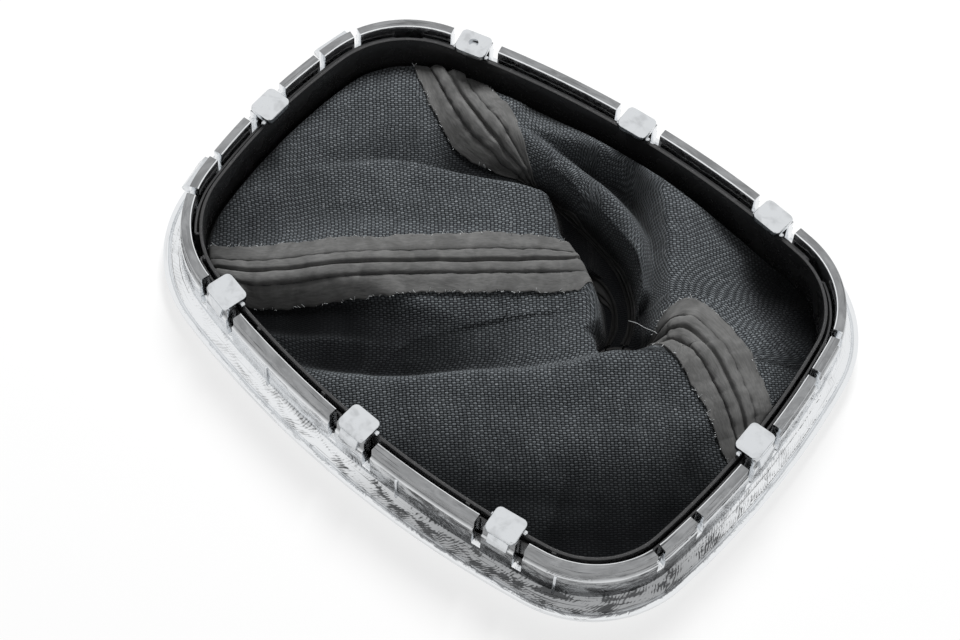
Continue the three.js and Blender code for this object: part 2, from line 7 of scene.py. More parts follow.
import bmesh
import bpy
import numpy as np
from mathutils import Matrix, Vector


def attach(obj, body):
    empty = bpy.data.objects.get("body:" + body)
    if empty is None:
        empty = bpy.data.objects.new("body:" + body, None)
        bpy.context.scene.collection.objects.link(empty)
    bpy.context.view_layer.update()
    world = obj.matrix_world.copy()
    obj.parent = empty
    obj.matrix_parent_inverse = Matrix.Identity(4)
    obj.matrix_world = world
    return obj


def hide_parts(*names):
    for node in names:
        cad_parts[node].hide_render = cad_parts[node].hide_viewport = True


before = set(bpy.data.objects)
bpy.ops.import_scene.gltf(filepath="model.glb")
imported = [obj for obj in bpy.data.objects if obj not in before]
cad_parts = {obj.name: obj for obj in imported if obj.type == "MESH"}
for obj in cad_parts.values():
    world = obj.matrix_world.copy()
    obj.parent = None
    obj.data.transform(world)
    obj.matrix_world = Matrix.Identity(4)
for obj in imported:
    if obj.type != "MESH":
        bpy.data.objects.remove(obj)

"""Looks of a gear lever gaiter in its plated trim frame, lying face down with its clips up.

Lengths are millimetres in the classes and metres in Blender. X runs along the frame
towards the end with the narrow slots, and Z up through the clips.
"""

MM = 0.001
LOG = logging.getLogger("gaiter")
Array = np.ndarray
Profile = list[tuple[float, float]]


# Plan of the moulding ------------------------------------------------------------------------


@dataclass(frozen=True)
class Arc:
    """One arc of the outline, turning anticlockwise from one heading to another."""

    x: float
    y: float
    radius: float
    begin: float
    end: float

    @property
    def length(self) -> float:
        """Arc length in millimetres."""
        return self.radius * (self.end - self.begin)


@dataclass(frozen=True)
class Outline:
    """Plan of the wall's inner face: tangent bows joined by corner arcs, alike on both sides."""

    half_length: float = 71.15
    half_width: float = 52.9
    widest_x: float = 13.85
    blunt_end_radius: float = 214.0
    round_end_radius: float = 155.0
    side_radius: float = 243.0
    blunt_corner_radius: float = 22.3
    round_corner_radius: float = 25.8
    arcs: list[Arc] = field(init=False, default_factory=list)

    def __post_init__(self) -> None:
        """Lay the ten arcs round the frame."""
        side = Arc(self.widest_x, self.half_width - self.side_radius, self.side_radius, 0, 0)
        blunt = Arc(self.half_length - self.blunt_end_radius, 0, self.blunt_end_radius, 0, 0)
        rounded = Arc(self.round_end_radius - self.half_length, 0, self.round_end_radius, 0, 0)
        near = self._corner(side, blunt, self.blunt_corner_radius)
        far = self._corner(side, rounded, self.round_corner_radius)
        turns = [0.0, self._heading(blunt, near), self._heading(side, near),
                 self._heading(side, far), self._heading(rounded, far), math.pi]
        upper = [Arc(arc.x, arc.y, arc.radius, turns[i], turns[i + 1])
                 for i, arc in enumerate((blunt, near, side, far, rounded))]
        lower = [Arc(arc.x, -arc.y, arc.radius, -arc.end, -arc.begin) for arc in reversed(upper)]
        self.arcs.extend(upper + lower)

    @staticmethod
    def _heading(start: Arc, end: Arc) -> float:
        """Heading from one arc's middle to another's."""
        return math.atan2(end.y - start.y, end.x - start.x)

    @staticmethod
    def _corner(bow: Arc, end: Arc, radius: float) -> Arc:
        """Corner arc that touches a bow and an end from inside."""
        reach, span = bow.radius - radius, end.radius - radius
        dx, dy = end.x - bow.x, end.y - bow.y
        apart = math.hypot(dx, dy)
        along = (apart**2 + reach**2 - span**2) / (2 * apart)
        off = math.sqrt(reach**2 - along**2)
        side = 1 if dx > 0 else -1
        return Arc(bow.x + (along * dx - side * off * dy) / apart,
                   bow.y + (along * dy + side * off * dx) / apart, radius, 0, 0)

    @property
    def perimeter(self) -> float:
        """Length once round the outline."""
        return sum(arc.length for arc in self.arcs)

    def at(self, run: Array | float, offset: Array | float = 0.0) -> tuple[Array, Array, Array]:
        """Plan point and outward heading at a run along the outline, moved outwards.

        Args:
            run: Distance along the outline, anticlockwise from the blunt end's middle.
            offset: Distance outwards from the wall's inner face.

        Returns:
            x, y and heading, as arrays.
        """
        wrapped = np.mod(np.asarray(run, float), self.perimeter)
        starts = np.cumsum([0.0] + [arc.length for arc in self.arcs[:-1]])
        index = np.clip(np.searchsorted(starts, wrapped, side="right") - 1, 0, len(self.arcs) - 1)
        x, y, radius, begin = (np.array([getattr(arc, name) for arc in self.arcs])[index]
                               for name in ("x", "y", "radius", "begin"))
        heading = begin + (wrapped - starts[index]) / radius
        reach = radius + offset
        return x + reach * np.cos(heading), y + reach * np.sin(heading), heading

    def against(self, x: Array, y: Array) -> tuple[Array, Array, Array, Array, Array]:
        """Where plan points lie against the wall: offset, heading and the nearest arc's numbers."""
        best = np.full(np.shape(x), -self.half_width)
        out = [best, *(np.zeros(np.shape(x)) for _ in range(4))]
        for arc in self.arcs:
            heading = np.arctan2(y - arc.y, x - arc.x)
            offset = np.hypot(x - arc.x, y - arc.y) - arc.radius
            faces = np.mod(heading - arc.begin, 2 * math.pi) <= arc.end - arc.begin + 1e-9
            better = faces & (offset > out[0])
            for i, value in enumerate((offset, heading, arc.x, arc.y, arc.radius)):
                out[i] = np.where(better, value, out[i])
        return tuple(out)

    def kept_inside(self, x: Array, y: Array, limit: Array | float) -> tuple[Array, Array]:
        """Move plan points in until they are no further out than an offset."""
        offset, heading, ax, ay, radius = self.against(x, y)
        outside = offset > limit
        reach = radius + limit
        return (np.where(outside, ax + reach * np.cos(heading), x),
                np.where(outside, ay + reach * np.sin(heading), y))

    def _run_where(self, reached: Callable[[float, float], bool]) -> float:
        """Run on the far side at which a test of the plan point first holds, by halving."""
        low, high = 0.0, self.perimeter / 2
        for _ in range(40):
            middle = (low + high) / 2
            x, y, _ = self.at(middle)
            low, high = (low, middle) if reached(float(x), float(y)) else (middle, high)
        return low

    def run_at_x(self, x: float) -> float:
        """Run where the far side passes an x."""
        return self._run_where(lambda px, _: px < x)

    def run_at_blunt_y(self, y: float) -> float:
        """Run where the blunt end passes a y."""
        return self._run_where(lambda px, py: py > y or px < self.widest_x)

    def run_at_round_y(self, y: float) -> float:
        """Run where the round end passes a y."""
        return self._run_where(lambda px, py: py < y and px < self.widest_x)

    def mirrored(self, run: float) -> float:
        """The same place on the other side of the long axis."""
        return self.perimeter - run

    def both(self, run: float) -> list[float]:
        """A run and its mirror."""
        return [run, self.mirrored(run)]

    def both_at(self, xs: Sequence[float]) -> list[float]:
        """Runs where the two sides pass each x."""
        return [run for x in xs for run in self.both(self.run_at_x(x))]

    def stations(self, pitch: float, turn: float) -> Array:
        """Runs no further apart than a pitch in mm or a turn in radians."""
        runs, start = [], 0.0
        for arc in self.arcs:
            steps = max(2, math.ceil(arc.length / pitch), math.ceil((arc.end - arc.begin) / turn))
            runs.append(start + arc.length * np.arange(steps) / steps)
            start += arc.length
        return np.concatenate(runs)


# Meshes --------------------------------------------------------------------------------------


def linked(name: str, data: Any) -> Any:
    """A new object that shows some data, in the scene."""
    made = bpy.data.objects.new(name, data)
    bpy.context.scene.collection.objects.link(made)
    return made


def mesh_object(name: str, points: Array, faces: Sequence[Sequence[int]], smooth: float = 35.0) -> Any:
    """Make a mesh object from millimetre points.

    Args:
        name: Name of the object.
        points: One row of x, y, z per vertex, in millimetres.
        faces: Vertex indices of each face, anticlockwise seen from outside.
        smooth: Edges sharper than this many degrees stay sharp.

    Returns:
        The new object, linked to the scene.
    """
    data = bpy.data.meshes.new(name)
    data.from_pydata((np.asarray(points, float) * MM).tolist(), [], [list(map(int, f)) for f in faces])
    data.validate()
    made = linked(name, data)
    soften(made, smooth)
    return made


def soften(piece: Any, angle: float = 35.0) -> None:
    """Shade a piece smooth, with edges sharper than an angle in degrees kept sharp."""
    data = piece.data
    data.polygons.foreach_set("use_smooth", np.ones(len(data.polygons), bool))
    data.set_sharp_from_angle(angle=math.radians(angle))
    data.update()


def settle(piece: Any) -> Any:
    """Turn a piece's live modifiers into its plain mesh."""
    shown = piece.evaluated_get(bpy.context.evaluated_depsgraph_get())
    baked = bpy.data.meshes.new_from_object(shown)
    piece.modifiers.clear()
    old = piece.data
    piece.data = baked
    bpy.data.meshes.remove(old)
    soften(piece)
    return piece


def discard(*pieces: Any) -> None:
    """Remove helper objects and their meshes."""
    for piece in pieces:
        data = piece.data
        bpy.data.objects.remove(piece)
        bpy.data.meshes.remove(data)


def merged(name: str, pieces: Sequence[Any]) -> Any:
    """Join several mesh objects into one new object, and remove them."""
    together = bmesh.new()
    for piece in pieces:
        together.from_mesh(piece.data)
    data = bpy.data.meshes.new(name)
    together.to_mesh(data)
    together.free()
    for material in pieces[0].data.materials:
        data.materials.append(material)
    discard(*pieces)
    made = linked(name, data)
    soften(made)
    return made


def outward(piece: Any, weld: float = 0.0) -> None:
    """Point all faces of closed shells outwards, after welding points nearer than a distance in metres."""
    work = bmesh.new()
    work.from_mesh(piece.data)
    if weld:
        bmesh.ops.remove_doubles(work, verts=work.verts, dist=weld)
    bmesh.ops.recalc_face_normals(work, faces=work.faces)
    work.to_mesh(piece.data)
    work.free()


def corner_vertices(piece: Any) -> Array:
    """Vertex index of each face corner."""
    corners = np.zeros(len(piece.data.loops), np.int32)
    piece.data.loops.foreach_get("vertex_index", corners)
    return corners


def mapped(piece: Any, name: str, flat: Array) -> None:
    """Give a piece a UV map from one row per face corner."""
    piece.data.uv_layers.new(name=name).data.foreach_set("uv", flat.astype(np.float32).ravel())


def dressed(piece: Any, finishes: Sequence[Any], slots: Array | None = None) -> None:
    """Give a piece its materials, and each face its slot."""
    piece.data.materials.clear()
    for finish in finishes:
        piece.data.materials.append(finish)
    slots = np.zeros(len(piece.data.polygons)) if slots is None else slots
    piece.data.polygons.foreach_set("material_index", slots.astype(np.int32))


def prism_faces(count: int) -> list[tuple[int, ...]]:
    """Faces of a prism whose ends have as many corners each."""
    sides = [(i, (i + 1) % count, (i + 1) % count + count, i + count) for i in range(count)]
    return [tuple(range(count))[::-1], tuple(range(count, 2 * count)), *sides]


def loop_faces(rings: int, across: int) -> list[tuple[int, ...]]:
    """Faces of a closed section carried round a closed loop, as rings of points."""
    return [(i * across + j, (i + 1) % rings * across + j,
             (i + 1) % rings * across + (j + 1) % across, i * across + (j + 1) % across)
            for i in range(rings) for j in range(across)]


def upright(rim: Profile, low: float, high: float) -> tuple[Array, list]:
    """Points and faces of a plan shape given a height."""
    return np.array([(x, y, z) for z in (low, high) for x, y in rim]), prism_faces(len(rim))


def rounded_profile(corners: Profile, radius: float, steps: int = 3) -> Profile:
    """Round the corners of a closed profile, as far as its short sides allow."""
    made: Profile = []
    points = [np.array(corner, float) for corner in corners]
    for i, here in enumerate(points):
        back, ahead = points[i - 1] - here, points[(i + 1) % len(points)] - here
        lengths = np.linalg.norm(back), np.linalg.norm(ahead)
        cut = min(radius, 0.42 * lengths[0], 0.42 * lengths[1])
        start, end = here + back / lengths[0] * cut, here + ahead / lengths[1] * cut
        for t in np.linspace(0, 1, steps + 1):
            made.append(tuple((1 - t) ** 2 * start + 2 * t * (1 - t) * here + t**2 * end))
    return made


def swept(name: str, outline: Outline, profile: Profile, pitch: float, turn: float) -> Any:
    """Carry a closed profile of (offset, height) pairs once round the outline."""
    runs = outline.stations(pitch, turn)
    offsets, heights = np.array(profile).T
    x, y, _ = outline.at(runs[:, None], offsets[None, :])
    z = np.broadcast_to(heights, x.shape)
    rows, across = x.shape
    base = np.arange(rows)[:, None] * across + np.arange(across)[None, :]
    after = np.roll(base, -1, axis=0)
    faces = np.stack([base, after, np.roll(after, -1, axis=1), np.roll(base, -1, axis=1)], -1)
    piece = mesh_object(name, np.stack([x, y, z], -1).reshape(-1, 3), faces.reshape(-1, 4))
    section = np.array(profile)
    steps = np.linalg.norm(np.roll(section, -1, axis=0) - section, axis=1)
    lengths = np.concatenate([[0.0], np.cumsum(steps)])
    run_ends = np.append(runs, outline.perimeter)
    u = np.stack([np.broadcast_to(run_ends[k:k + rows, None], (rows, across)) for k in (0, 1, 1, 0)], -1)
    v = np.stack([np.broadcast_to(lengths[None, k:k + across], (rows, across)) for k in (0, 0, 1, 1)], -1)
    mapped(piece, "wall", np.stack([u, v], -1))
    outward(piece)
    return piece


def block(length: float, inner: float, outer: float, bottom: float, top: float) -> tuple[Array, list]:
    """Points and faces of a box: length along X, Y outwards from the wall."""
    xs, ys, zs = (-length / 2, length / 2), (inner, outer), (bottom, top)
    points = np.array([(x, y, z) for z in zs for y in ys for x in xs])
    faces = [(0, 2, 3, 1), (4, 5, 7, 6), (0, 1, 5, 4), (2, 6, 7, 3), (0, 4, 6, 2), (1, 3, 7, 5)]
    return points, faces


def along_wall(outline: Outline, points: Array, run: float) -> Array:
    """Place points made along X, with Y outwards, square to the wall at a run."""
    x, y, heading = (float(v) for v in outline.at(run))
    turn = heading - math.pi / 2
    c, s = math.cos(turn), math.sin(turn)
    return np.stack([x + c * points[:, 0] - s * points[:, 1],
                     y + s * points[:, 0] + c * points[:, 1], points[:, 2]], -1)


def extruded(profile: Profile, length: float) -> tuple[Array, list]:
    """Points and faces of an (offset, height) profile given a length along X."""
    points = np.array([(x, y, z) for x in (-length / 2, length / 2) for y, z in profile])
    return points, prism_faces(len(profile))


def placed(name: str, outline: Outline, shapes: Sequence[tuple[tuple[Array, list], float]]) -> Any:
    """One object from several shapes, each placed along the wall at its run."""
    points, faces, count = [], [], 0
    for (shape, shape_faces), run in shapes:
        points.append(along_wall(outline, shape, run))
        faces += [tuple(i + count for i in face) for face in shape_faces]
        count += len(shape)
    piece = mesh_object(name, np.concatenate(points), faces)
    outward(piece)
    return piece


def carved(piece: Any, cutter: Any) -> None:
    """Cut one object out of another, and remove the cutter."""
    cut = piece.modifiers.new("cut", "BOOLEAN")
    cut.operation, cut.solver, cut.object = "DIFFERENCE", "EXACT", cutter
    settle(piece)
    discard(cutter)


def bevelled(piece: Any, width: float, segments: int = 2, angle: float = 40.0) -> Any:
    """Round a piece's sharp edges by a width in millimetres."""
    bevel = piece.modifiers.new("edges", "BEVEL")
    bevel.width, bevel.segments, bevel.limit_method = width * MM, segments, "ANGLE"
    bevel.angle_limit = math.radians(angle)
    return settle(piece)


# Nodes ---------------------------------------------------------------------------------------


def feed(tree: Any, socket: Any, value: Any) -> None:
    """Link a value or a socket to an input, or set a constant there.

    Args:
        tree: Node tree of the input.
        socket: Input socket.
        value: Val, output socket or constant.
    """
    source = value.socket if isinstance(value, Val) else value
    if isinstance(source, bpy.types.NodeSocket):
        tree.links.new(source, socket)
    else:
        socket.default_value = source


def output(node: Any, name: str) -> Any:
    """An enabled output of a node by name."""
    return next(s for s in node.outputs if s.name == name and s.enabled)


def add_node(tree: Any, kind: str, settings: dict[str, Any] | None = None, **values: Any) -> Any:
    """Add a node to a tree.

    Args:
        tree: Node tree.
        kind: Full node type.
        settings: Properties of the node.
        values: Inputs by name, with spaces as underscores: a Val, a socket or a constant.

    Returns:
        The node.
    """
    node = tree.nodes.new(kind)
    for key, value in (settings or {}).items():
        setattr(node, key, value)
    for key, value in values.items():
        name = key.replace("_", " ")
        feed(tree, next(s for s in node.inputs if s.name == name and s.enabled), value)
    return node


class Growth:
    """A Geometry Nodes tree under construction, with named inputs."""

    def __init__(self, name: str) -> None:
        """Start an empty tree with a geometry input and output.

        Args:
            name: Name of the tree.
        """
        self.tree = bpy.data.node_groups.new(name, "GeometryNodeTree")
        self.tree.interface.new_socket("Geometry", in_out="INPUT", socket_type="NodeSocketGeometry")
        self.tree.interface.new_socket("Geometry", in_out="OUTPUT", socket_type="NodeSocketGeometry")
        self.entry = self.tree.nodes.new("NodeGroupInput")
        self.exit = self.tree.nodes.new("NodeGroupOutput")

    def named(self, name: str, kind: str) -> Any:
        """Add a named input and return its socket inside the tree."""
        self.tree.interface.new_socket(name, in_out="INPUT", socket_type=f"NodeSocket{kind}")
        return self.entry.outputs[name]

    def put(self, kind: str, settings: dict[str, Any] | None = None, **values: Any) -> Any:
        """Add a node, whose type goes without its prefix unless it starts with Shader or Function."""
        prefix = "" if kind.startswith(("Shader", "Function")) else "GeometryNode"
        return add_node(self.tree, prefix + kind, settings, **values)

    def finish(self, instances: Any, finish: Any) -> None:
        """End the tree with Realize Instances and Set Material."""
        real = self.put("RealizeInstances", Geometry=instances)
        dressed = self.put("SetMaterial", Geometry=real.outputs[0], Material=finish)
        self.tree.links.new(dressed.outputs[0], self.exit.inputs[0])

    def grow(self, piece: Any, **inputs: Any) -> Any:
        """Run the tree on an object and keep the result as its plain mesh.

        Args:
            piece: Object that gets the tree as a modifier.
            inputs: Values of the named inputs, with spaces as underscores.

        Returns:
            The same object.
        """
        grown = piece.modifiers.new("growth", "NODES")
        grown.node_group = self.tree
        for item in self.tree.interface.items_tree:
            key = item.name.replace(" ", "_")
            if item.in_out == "INPUT" and key in inputs:
                grown[item.identifier] = inputs[key]
        return settle(piece)


def seated_copies() -> Growth:
    """Tree that stands a copy of one object at each point, turned by the point's own angle."""
    tree = Growth("seated_copies")
    copy = tree.named("Copy", "Object")
    finish = tree.named("Finish", "Material")
    turn = tree.put("InputNamedAttribute", {"data_type": "FLOAT"}, Name="turn")
    angles = tree.put("ShaderNodeCombineXYZ", Z=output(turn, "Attribute"))
    source = tree.put("ObjectInfo", Object=copy, As_Instance=True)
    stood = tree.put("InstanceOnPoints", Points=tree.entry.outputs[0],
                     Instance=output(source, "Geometry"), Rotation=angles.outputs[0])
    tree.finish(stood.outputs[0], finish)
    return tree


def sewn_stitches() -> Growth:
    """Tree that lays a thread stitch at each pitch along paths that lie on the cloth."""
    tree = Growth("sewn_stitches")
    pitch, length = tree.named("Pitch", "Float"), tree.named("Stitch Length", "Float")
    thickness, seed = tree.named("Thread Radius", "Float"), tree.named("Seed", "Int")
    finish = tree.named("Finish", "Material")
    path = tree.put("MeshToCurve", Mesh=tree.entry.outputs[0])
    even = tree.put("ResampleCurve", {"mode": "LENGTH"}, Curve=path.outputs[0], Length=pitch)
    along = tree.put("InputTangent")
    up = tree.put("InputNamedAttribute", {"data_type": "FLOAT_VECTOR"}, Name="cloth_normal")
    first = tree.put("FunctionNodeAlignRotationToVector", {"axis": "X"}, Vector=along.outputs[0])
    second = tree.put("FunctionNodeAlignRotationToVector", {"axis": "Z", "pivot_axis": "X"},
                      Rotation=first.outputs[0], Vector=output(up, "Attribute"))
    ball = tree.put("MeshUVSphere", Segments=8, Rings=6, Radius=1.0)
    span = tree.put("FunctionNodeRandomValue", {"data_type": "FLOAT"}, Min=0.85, Max=1.08, Seed=seed)
    long = tree.put("ShaderNodeMath", {"operation": "MULTIPLY"})
    feed(tree.tree, long.inputs[0], length)
    feed(tree.tree, long.inputs[1], output(span, "Value"))
    scale = tree.put("ShaderNodeCombineXYZ", X=long.outputs[0], Y=thickness, Z=thickness)
    laid = tree.put("InstanceOnPoints", Points=even.outputs[0], Instance=output(ball, "Mesh"),
                    Rotation=second.outputs[0], Scale=scale.outputs[0])
    tree.finish(laid.outputs[0], finish)
    return tree


def frayed_fibres() -> Growth:
    """Tree that leaves short fibre ends here and there along a cut edge."""
    tree = Growth("frayed_fibres")
    pitch, radius = tree.named("Pitch", "Float"), tree.named("Fibre Radius", "Float")
    length, kept = tree.named("Fibre Length", "Float"), tree.named("Kept Share", "Float")
    seed, finish = tree.named("Seed", "Int"), tree.named("Finish", "Material")
    path = tree.put("MeshToCurve", Mesh=tree.entry.outputs[0])
    even = tree.put("ResampleCurve", {"mode": "LENGTH"}, Curve=path.outputs[0], Length=pitch)
    points = tree.put("CurveToPoints", {"mode": "EVALUATED"}, Curve=even.outputs[0])
    chosen = tree.put("FunctionNodeRandomValue", {"data_type": "BOOLEAN"}, Probability=kept, Seed=seed)
    turn = tree.put("FunctionNodeRandomValue", {"data_type": "FLOAT_VECTOR"},
                    Min=(-1.1, -1.1, 0.0), Max=(1.1, 1.1, 2 * math.pi), Seed=seed)
    grow = tree.put("FunctionNodeRandomValue", {"data_type": "FLOAT"}, Min=0.35, Max=1.0, Seed=seed)
    fibre = tree.put("MeshCone", {"fill_type": "NGON"}, Vertices=4, Side_Segments=2,
                     Radius_Top=radius, Radius_Bottom=radius, Depth=length)
    laid = tree.put("InstanceOnPoints", Points=points.outputs[0], Instance=output(fibre, "Mesh"),
                    Selection=output(chosen, "Value"), Rotation=output(turn, "Value"),
                    Scale=output(grow, "Value"))
    tree.finish(laid.outputs[0], finish)
    return tree


# Materials -----------------------------------------------------------------------------------


class Val:
    """A value in a material: arithmetic on it adds nodes."""

    def __init__(self, sheet: "Shading", socket: Any) -> None:
        """Wrap a socket.

        Args:
            sheet: Material that the socket belongs to.
            socket: Output socket.
        """
        self.sheet, self.socket = sheet, socket

    def _math(self, operation: str, *others: Any) -> "Val":
        """This value as the first of a Math node's inputs."""
        return self.sheet.math(operation, self, *others)

    def __add__(self, other: Any) -> "Val":
        return self._math("ADD", other)

    def __sub__(self, other: Any) -> "Val":
        return self._math("SUBTRACT", other)

    def __rsub__(self, other: Any) -> "Val":
        return self.sheet.math("SUBTRACT", other, self)

    def __mul__(self, other: Any) -> "Val":
        return self._math("MULTIPLY", other)

    def __truediv__(self, other: Any) -> "Val":
        return self._math("DIVIDE", other)

    def __pow__(self, other: float) -> "Val":
        return self._math("POWER", other)

    def __abs__(self) -> "Val":
        return self._math("ABSOLUTE")

    def floor(self) -> "Val":
        """Whole part."""
        return self._math("FLOOR")

    def fraction(self) -> "Val":
        """Part after the point."""
        return self._math("FRACT")

    def root(self) -> "Val":
        """Square root."""
        return self._math("SQRT")

    def least(self, other: Any) -> "Val":
        """The smaller of two values."""
        return self._math("MINIMUM", other)

    def most(self, other: Any) -> "Val":
        """The larger of two values."""
        return self._math("MAXIMUM", other)

    def ramp(self, low: float, high: float, start: float = 0.0, end: float = 1.0) -> "Val":
        """Map a range smoothly onto another."""
        return self.sheet.get("MapRange", {"interpolation_type": "SMOOTHSTEP"}, "Result", Value=self,
                              From_Min=low, From_Max=high, To_Min=start, To_Max=end)


class Shading:
    """A material under construction around one Principled shader."""

    def __init__(self, name: str, **constants: Any) -> None:
        """Start a material.

        Args:
            name: Name of the material.
            constants: Inputs of the Principled shader, with spaces as underscores.
        """
        self.material = bpy.data.materials.new(name)
        self.material.use_nodes = True
        self.tree = self.material.node_tree
        self.shader = self.tree.nodes["Principled BSDF"]
        for key, value in constants.items():
            self.shader.inputs[key.replace("_", " ")].default_value = value

    def put(self, kind: str, settings: dict[str, Any] | None = None, **values: Any) -> Any:
        """Add a shader node, whose type goes without its prefix."""
        return add_node(self.tree, "ShaderNode" + kind, settings, **values)

    def get(self, kind: str, settings: dict[str, Any] | None, name: str, **values: Any) -> Val:
        """Add a shader node and take one of its outputs."""
        return Val(self, output(self.put(kind, settings, **values), name))

    def math(self, operation: str, *values: Any) -> Val:
        """Add a Math node."""
        node = self.put("Math", {"operation": operation})
        for socket, value in zip(node.inputs, values):
            feed(self.tree, socket, value)
        return Val(self, node.outputs[0])

    def place(self) -> Val:
        """Object coordinates in millimetres."""
        here = self.put("TexCoord").outputs["Object"]
        return Val(self, self.put("VectorMath", {"operation": "SCALE"}, Vector=here, Scale=1 / MM).outputs[0])

    def flat(self, name: str) -> Val:
        """A UV map of the piece, in millimetres."""
        return Val(self, self.put("UVMap", {"uv_map": name}).outputs[0])

    def out_of_hollow(self, floor: float = 2.3, crest: float = 9.4, bend: float = 1.2) -> Val:
        """Painted shade by height: a share from 0 in the hollows, painted darkest, to 1 on the crests."""
        _, _, height = self.split(self.place())
        return height.ramp(floor, crest) ** bend

    def split(self, vector: Val) -> tuple[Val, Val, Val]:
        """Parts of a vector."""
        node = self.put("SeparateXYZ", Vector=vector)
        return tuple(Val(self, node.outputs[i]) for i in range(3))

    def join(self, x: Any, y: Any, z: Any = 0.0) -> Val:
        """A vector from its parts."""
        return self.get("CombineXYZ", None, "Vector", X=x, Y=y, Z=z)

    def noise(self, vector: Val, period: float, detail: float = 2.0, rough: float = 0.5,
              distortion: float = 0.0) -> Val:
        """Noise from 0 to 1 with a period in the vector's own units."""
        return self.get("TexNoise", None, "Fac", Vector=vector, Scale=1 / period, Detail=detail,
                        Roughness=rough, Distortion=distortion)

    def mix(self, share: Val | float, first: Any, second: Any) -> Val:
        """Mix two colours."""
        node = self.put("Mix", {"data_type": "RGBA"})
        for socket, value in ((node.inputs[0], share), (node.inputs[6], first), (node.inputs[7], second)):
            feed(self.tree, socket, colour(value) if isinstance(value, tuple) else value)
        return Val(self, node.outputs[2])

    def finish(self, base: Any = None, rough: Any = None, relief: Val | None = None,
               strength: float = 1.0) -> Any:
        """Link the varying inputs and return the material.

        Args:
            base: Base colour.
            rough: Roughness.
            relief: Height in millimetres for the bump.
            strength: Share of the bump that shows.

        Returns:
            The finished material.
        """
        if base is not None:
            base = colour(base) if isinstance(base, tuple) else base
            feed(self.tree, self.shader.inputs["Base Color"], base)
        if rough is not None:
            feed(self.tree, self.shader.inputs["Roughness"], rough)
        if relief is not None:
            bump = self.put("Bump", None, Strength=strength, Distance=MM, Height=relief)
            feed(self.tree, self.shader.inputs["Normal"], bump.outputs[0])
        return self.material


def colour(rgb: tuple) -> tuple:
    """A colour with its alpha."""
    return (*rgb[:3], 1.0)


class Tooling(Enum):
    """Pattern of the dark reflections painted into the plating's colour, which the strokes' bump follows."""

    PLAIN = "plain"
    SWIRLED = "swirled"


@dataclass(frozen=True)
class PlatedFinish:
    """Bright plating on a moulding: soft waves, with dark mottling and curved strokes painted into its colour
    as dark reflections, and the strokes raised in its bump.

    Heights of the bands are millimetres along the moulding's section, and reaches are
    millimetres towards the near blunt corner.
    """

    tooling: Tooling = Tooling.PLAIN
    bright: tuple = (0.80, 0.815, 0.83)
    # Colour of the painted dark reflections.
    dark: tuple = (0.035, 0.036, 0.038)
    roughness: tuple[float, float] = (0.07, 0.20)
    wave_period: float = 7.0
    scuff_period: float = 0.8
    spot_period: float = 2.8
    towards_corner: tuple[float, float] = (0.5, 0.85)
    # Reaches over which the painted dark reflections grow towards the near blunt corner.
    marked_reach: tuple[float, float] = (12.0, 66.0)
    shaded_reach: tuple[float, float] = (44.0, 64.0)
    lower_start: tuple[float, float] = (34.5, 36.0)
    lower_end: tuple[float, float] = (46.6, 47.4)
    upper_start: tuple[float, float] = (47.0, 48.0)
    stroke_pitch: float = 0.9
    stroke_middle: float = 40.0
    stroke_bow: float = 0.20
    stroke_drift: float = 3.0
    darkest: float = 0.94

    def _spots(self, sheet: Shading, here: Val, waves: Val) -> tuple[Val, Val]:
        """Painted dark reflections and relief of plain plating."""
        spots = sheet.noise(here, self.spot_period, 2.0, 0.5, 0.4)
        return spots.ramp(0.45, 0.80, 0.0, 0.25), (waves - 0.5) * 0.25 + (spots - 0.5) * 0.04

    def _strokes(self, sheet: Shading, here: Val, waves: Val) -> tuple[Val, Val]:
        """Painted dark reflections and relief of the wall, which reads the piece's UV map along it."""
        u, v, _ = sheet.split(sheet.flat("wall"))
        x, y, _ = sheet.split(here)
        reach = x * self.towards_corner[0] - y * self.towards_corner[1]
        near = reach.ramp(*self.marked_reach, 0.12, 1.0)
        lower = v.ramp(*self.lower_start) * v.ramp(*self.lower_end, 1.0, 0.0)
        upper = v.ramp(*self.upper_start)
        drift = sheet.noise(sheet.join(u * 0.3, v * 0.3, 2.0), 1.0, 2.0, 0.5)
        off = v - self.stroke_middle
        arc = u + off * off * self.stroke_bow + drift * self.stroke_drift
        comb = abs((arc / self.stroke_pitch).fraction() - 0.5).ramp(0.05, 0.30, 1.0, 0.0)
        # Painted shade on the wall's lower face, growing towards the near blunt corner.
        shade = reach.ramp(*self.shaded_reach, 0.0, 0.6) * lower
        # Painted dark reflections: broad patches, which also gate the strokes.
        worn = sheet.noise(sheet.join(u * 0.16, v * 0.45, 9.0), 1.0, 4.0, 0.65, 0.6)
        fine = sheet.noise(sheet.join(u * 0.05, v * 2.2, 4.0), 1.0, 3.0, 0.6)
        stroke = comb * worn.ramp(0.42, 0.60)
        # Painted dark reflections: strokes and patches low on the wall, a darker upper face, the painted
        # shade and fine streaks, up to the darkest share.
        stain = ((stroke * 0.85 + worn.ramp(0.50, 0.68, 0.0, 0.75)) * lower * near
                 + upper * worn.ramp(0.3, 0.7, 0.60, 0.76) + shade
                 + fine.ramp(0.60, 0.70, 0.0, 0.55) * near.most(0.4)).least(self.darkest)
        return stain, (waves - 0.5) * 0.35 + stroke * lower * near * 0.04 + (fine - 0.5) * 0.02

    def build(self) -> Any:
        """Make the material."""
        sheet = Shading(f"bright_plating_{self.tooling.value}", Metallic=1.0)
        here = sheet.place()
        waves = sheet.noise(here, self.wave_period, 3.0, 0.55, 1.2)
        scuffs = sheet.noise(here, self.scuff_period, 3.0, 0.6)
        marks = self._spots if self.tooling is Tooling.PLAIN else self._strokes
        stain, relief = marks(sheet, here, waves)
        # The plating's colour darkens where dark reflections are painted.
        base = sheet.mix(stain, self.bright, self.dark)
        rough = waves.ramp(0.35, 0.75, *self.roughness) + scuffs * 0.05
        return sheet.finish(base, rough, relief + (scuffs - 0.5) * 0.006)


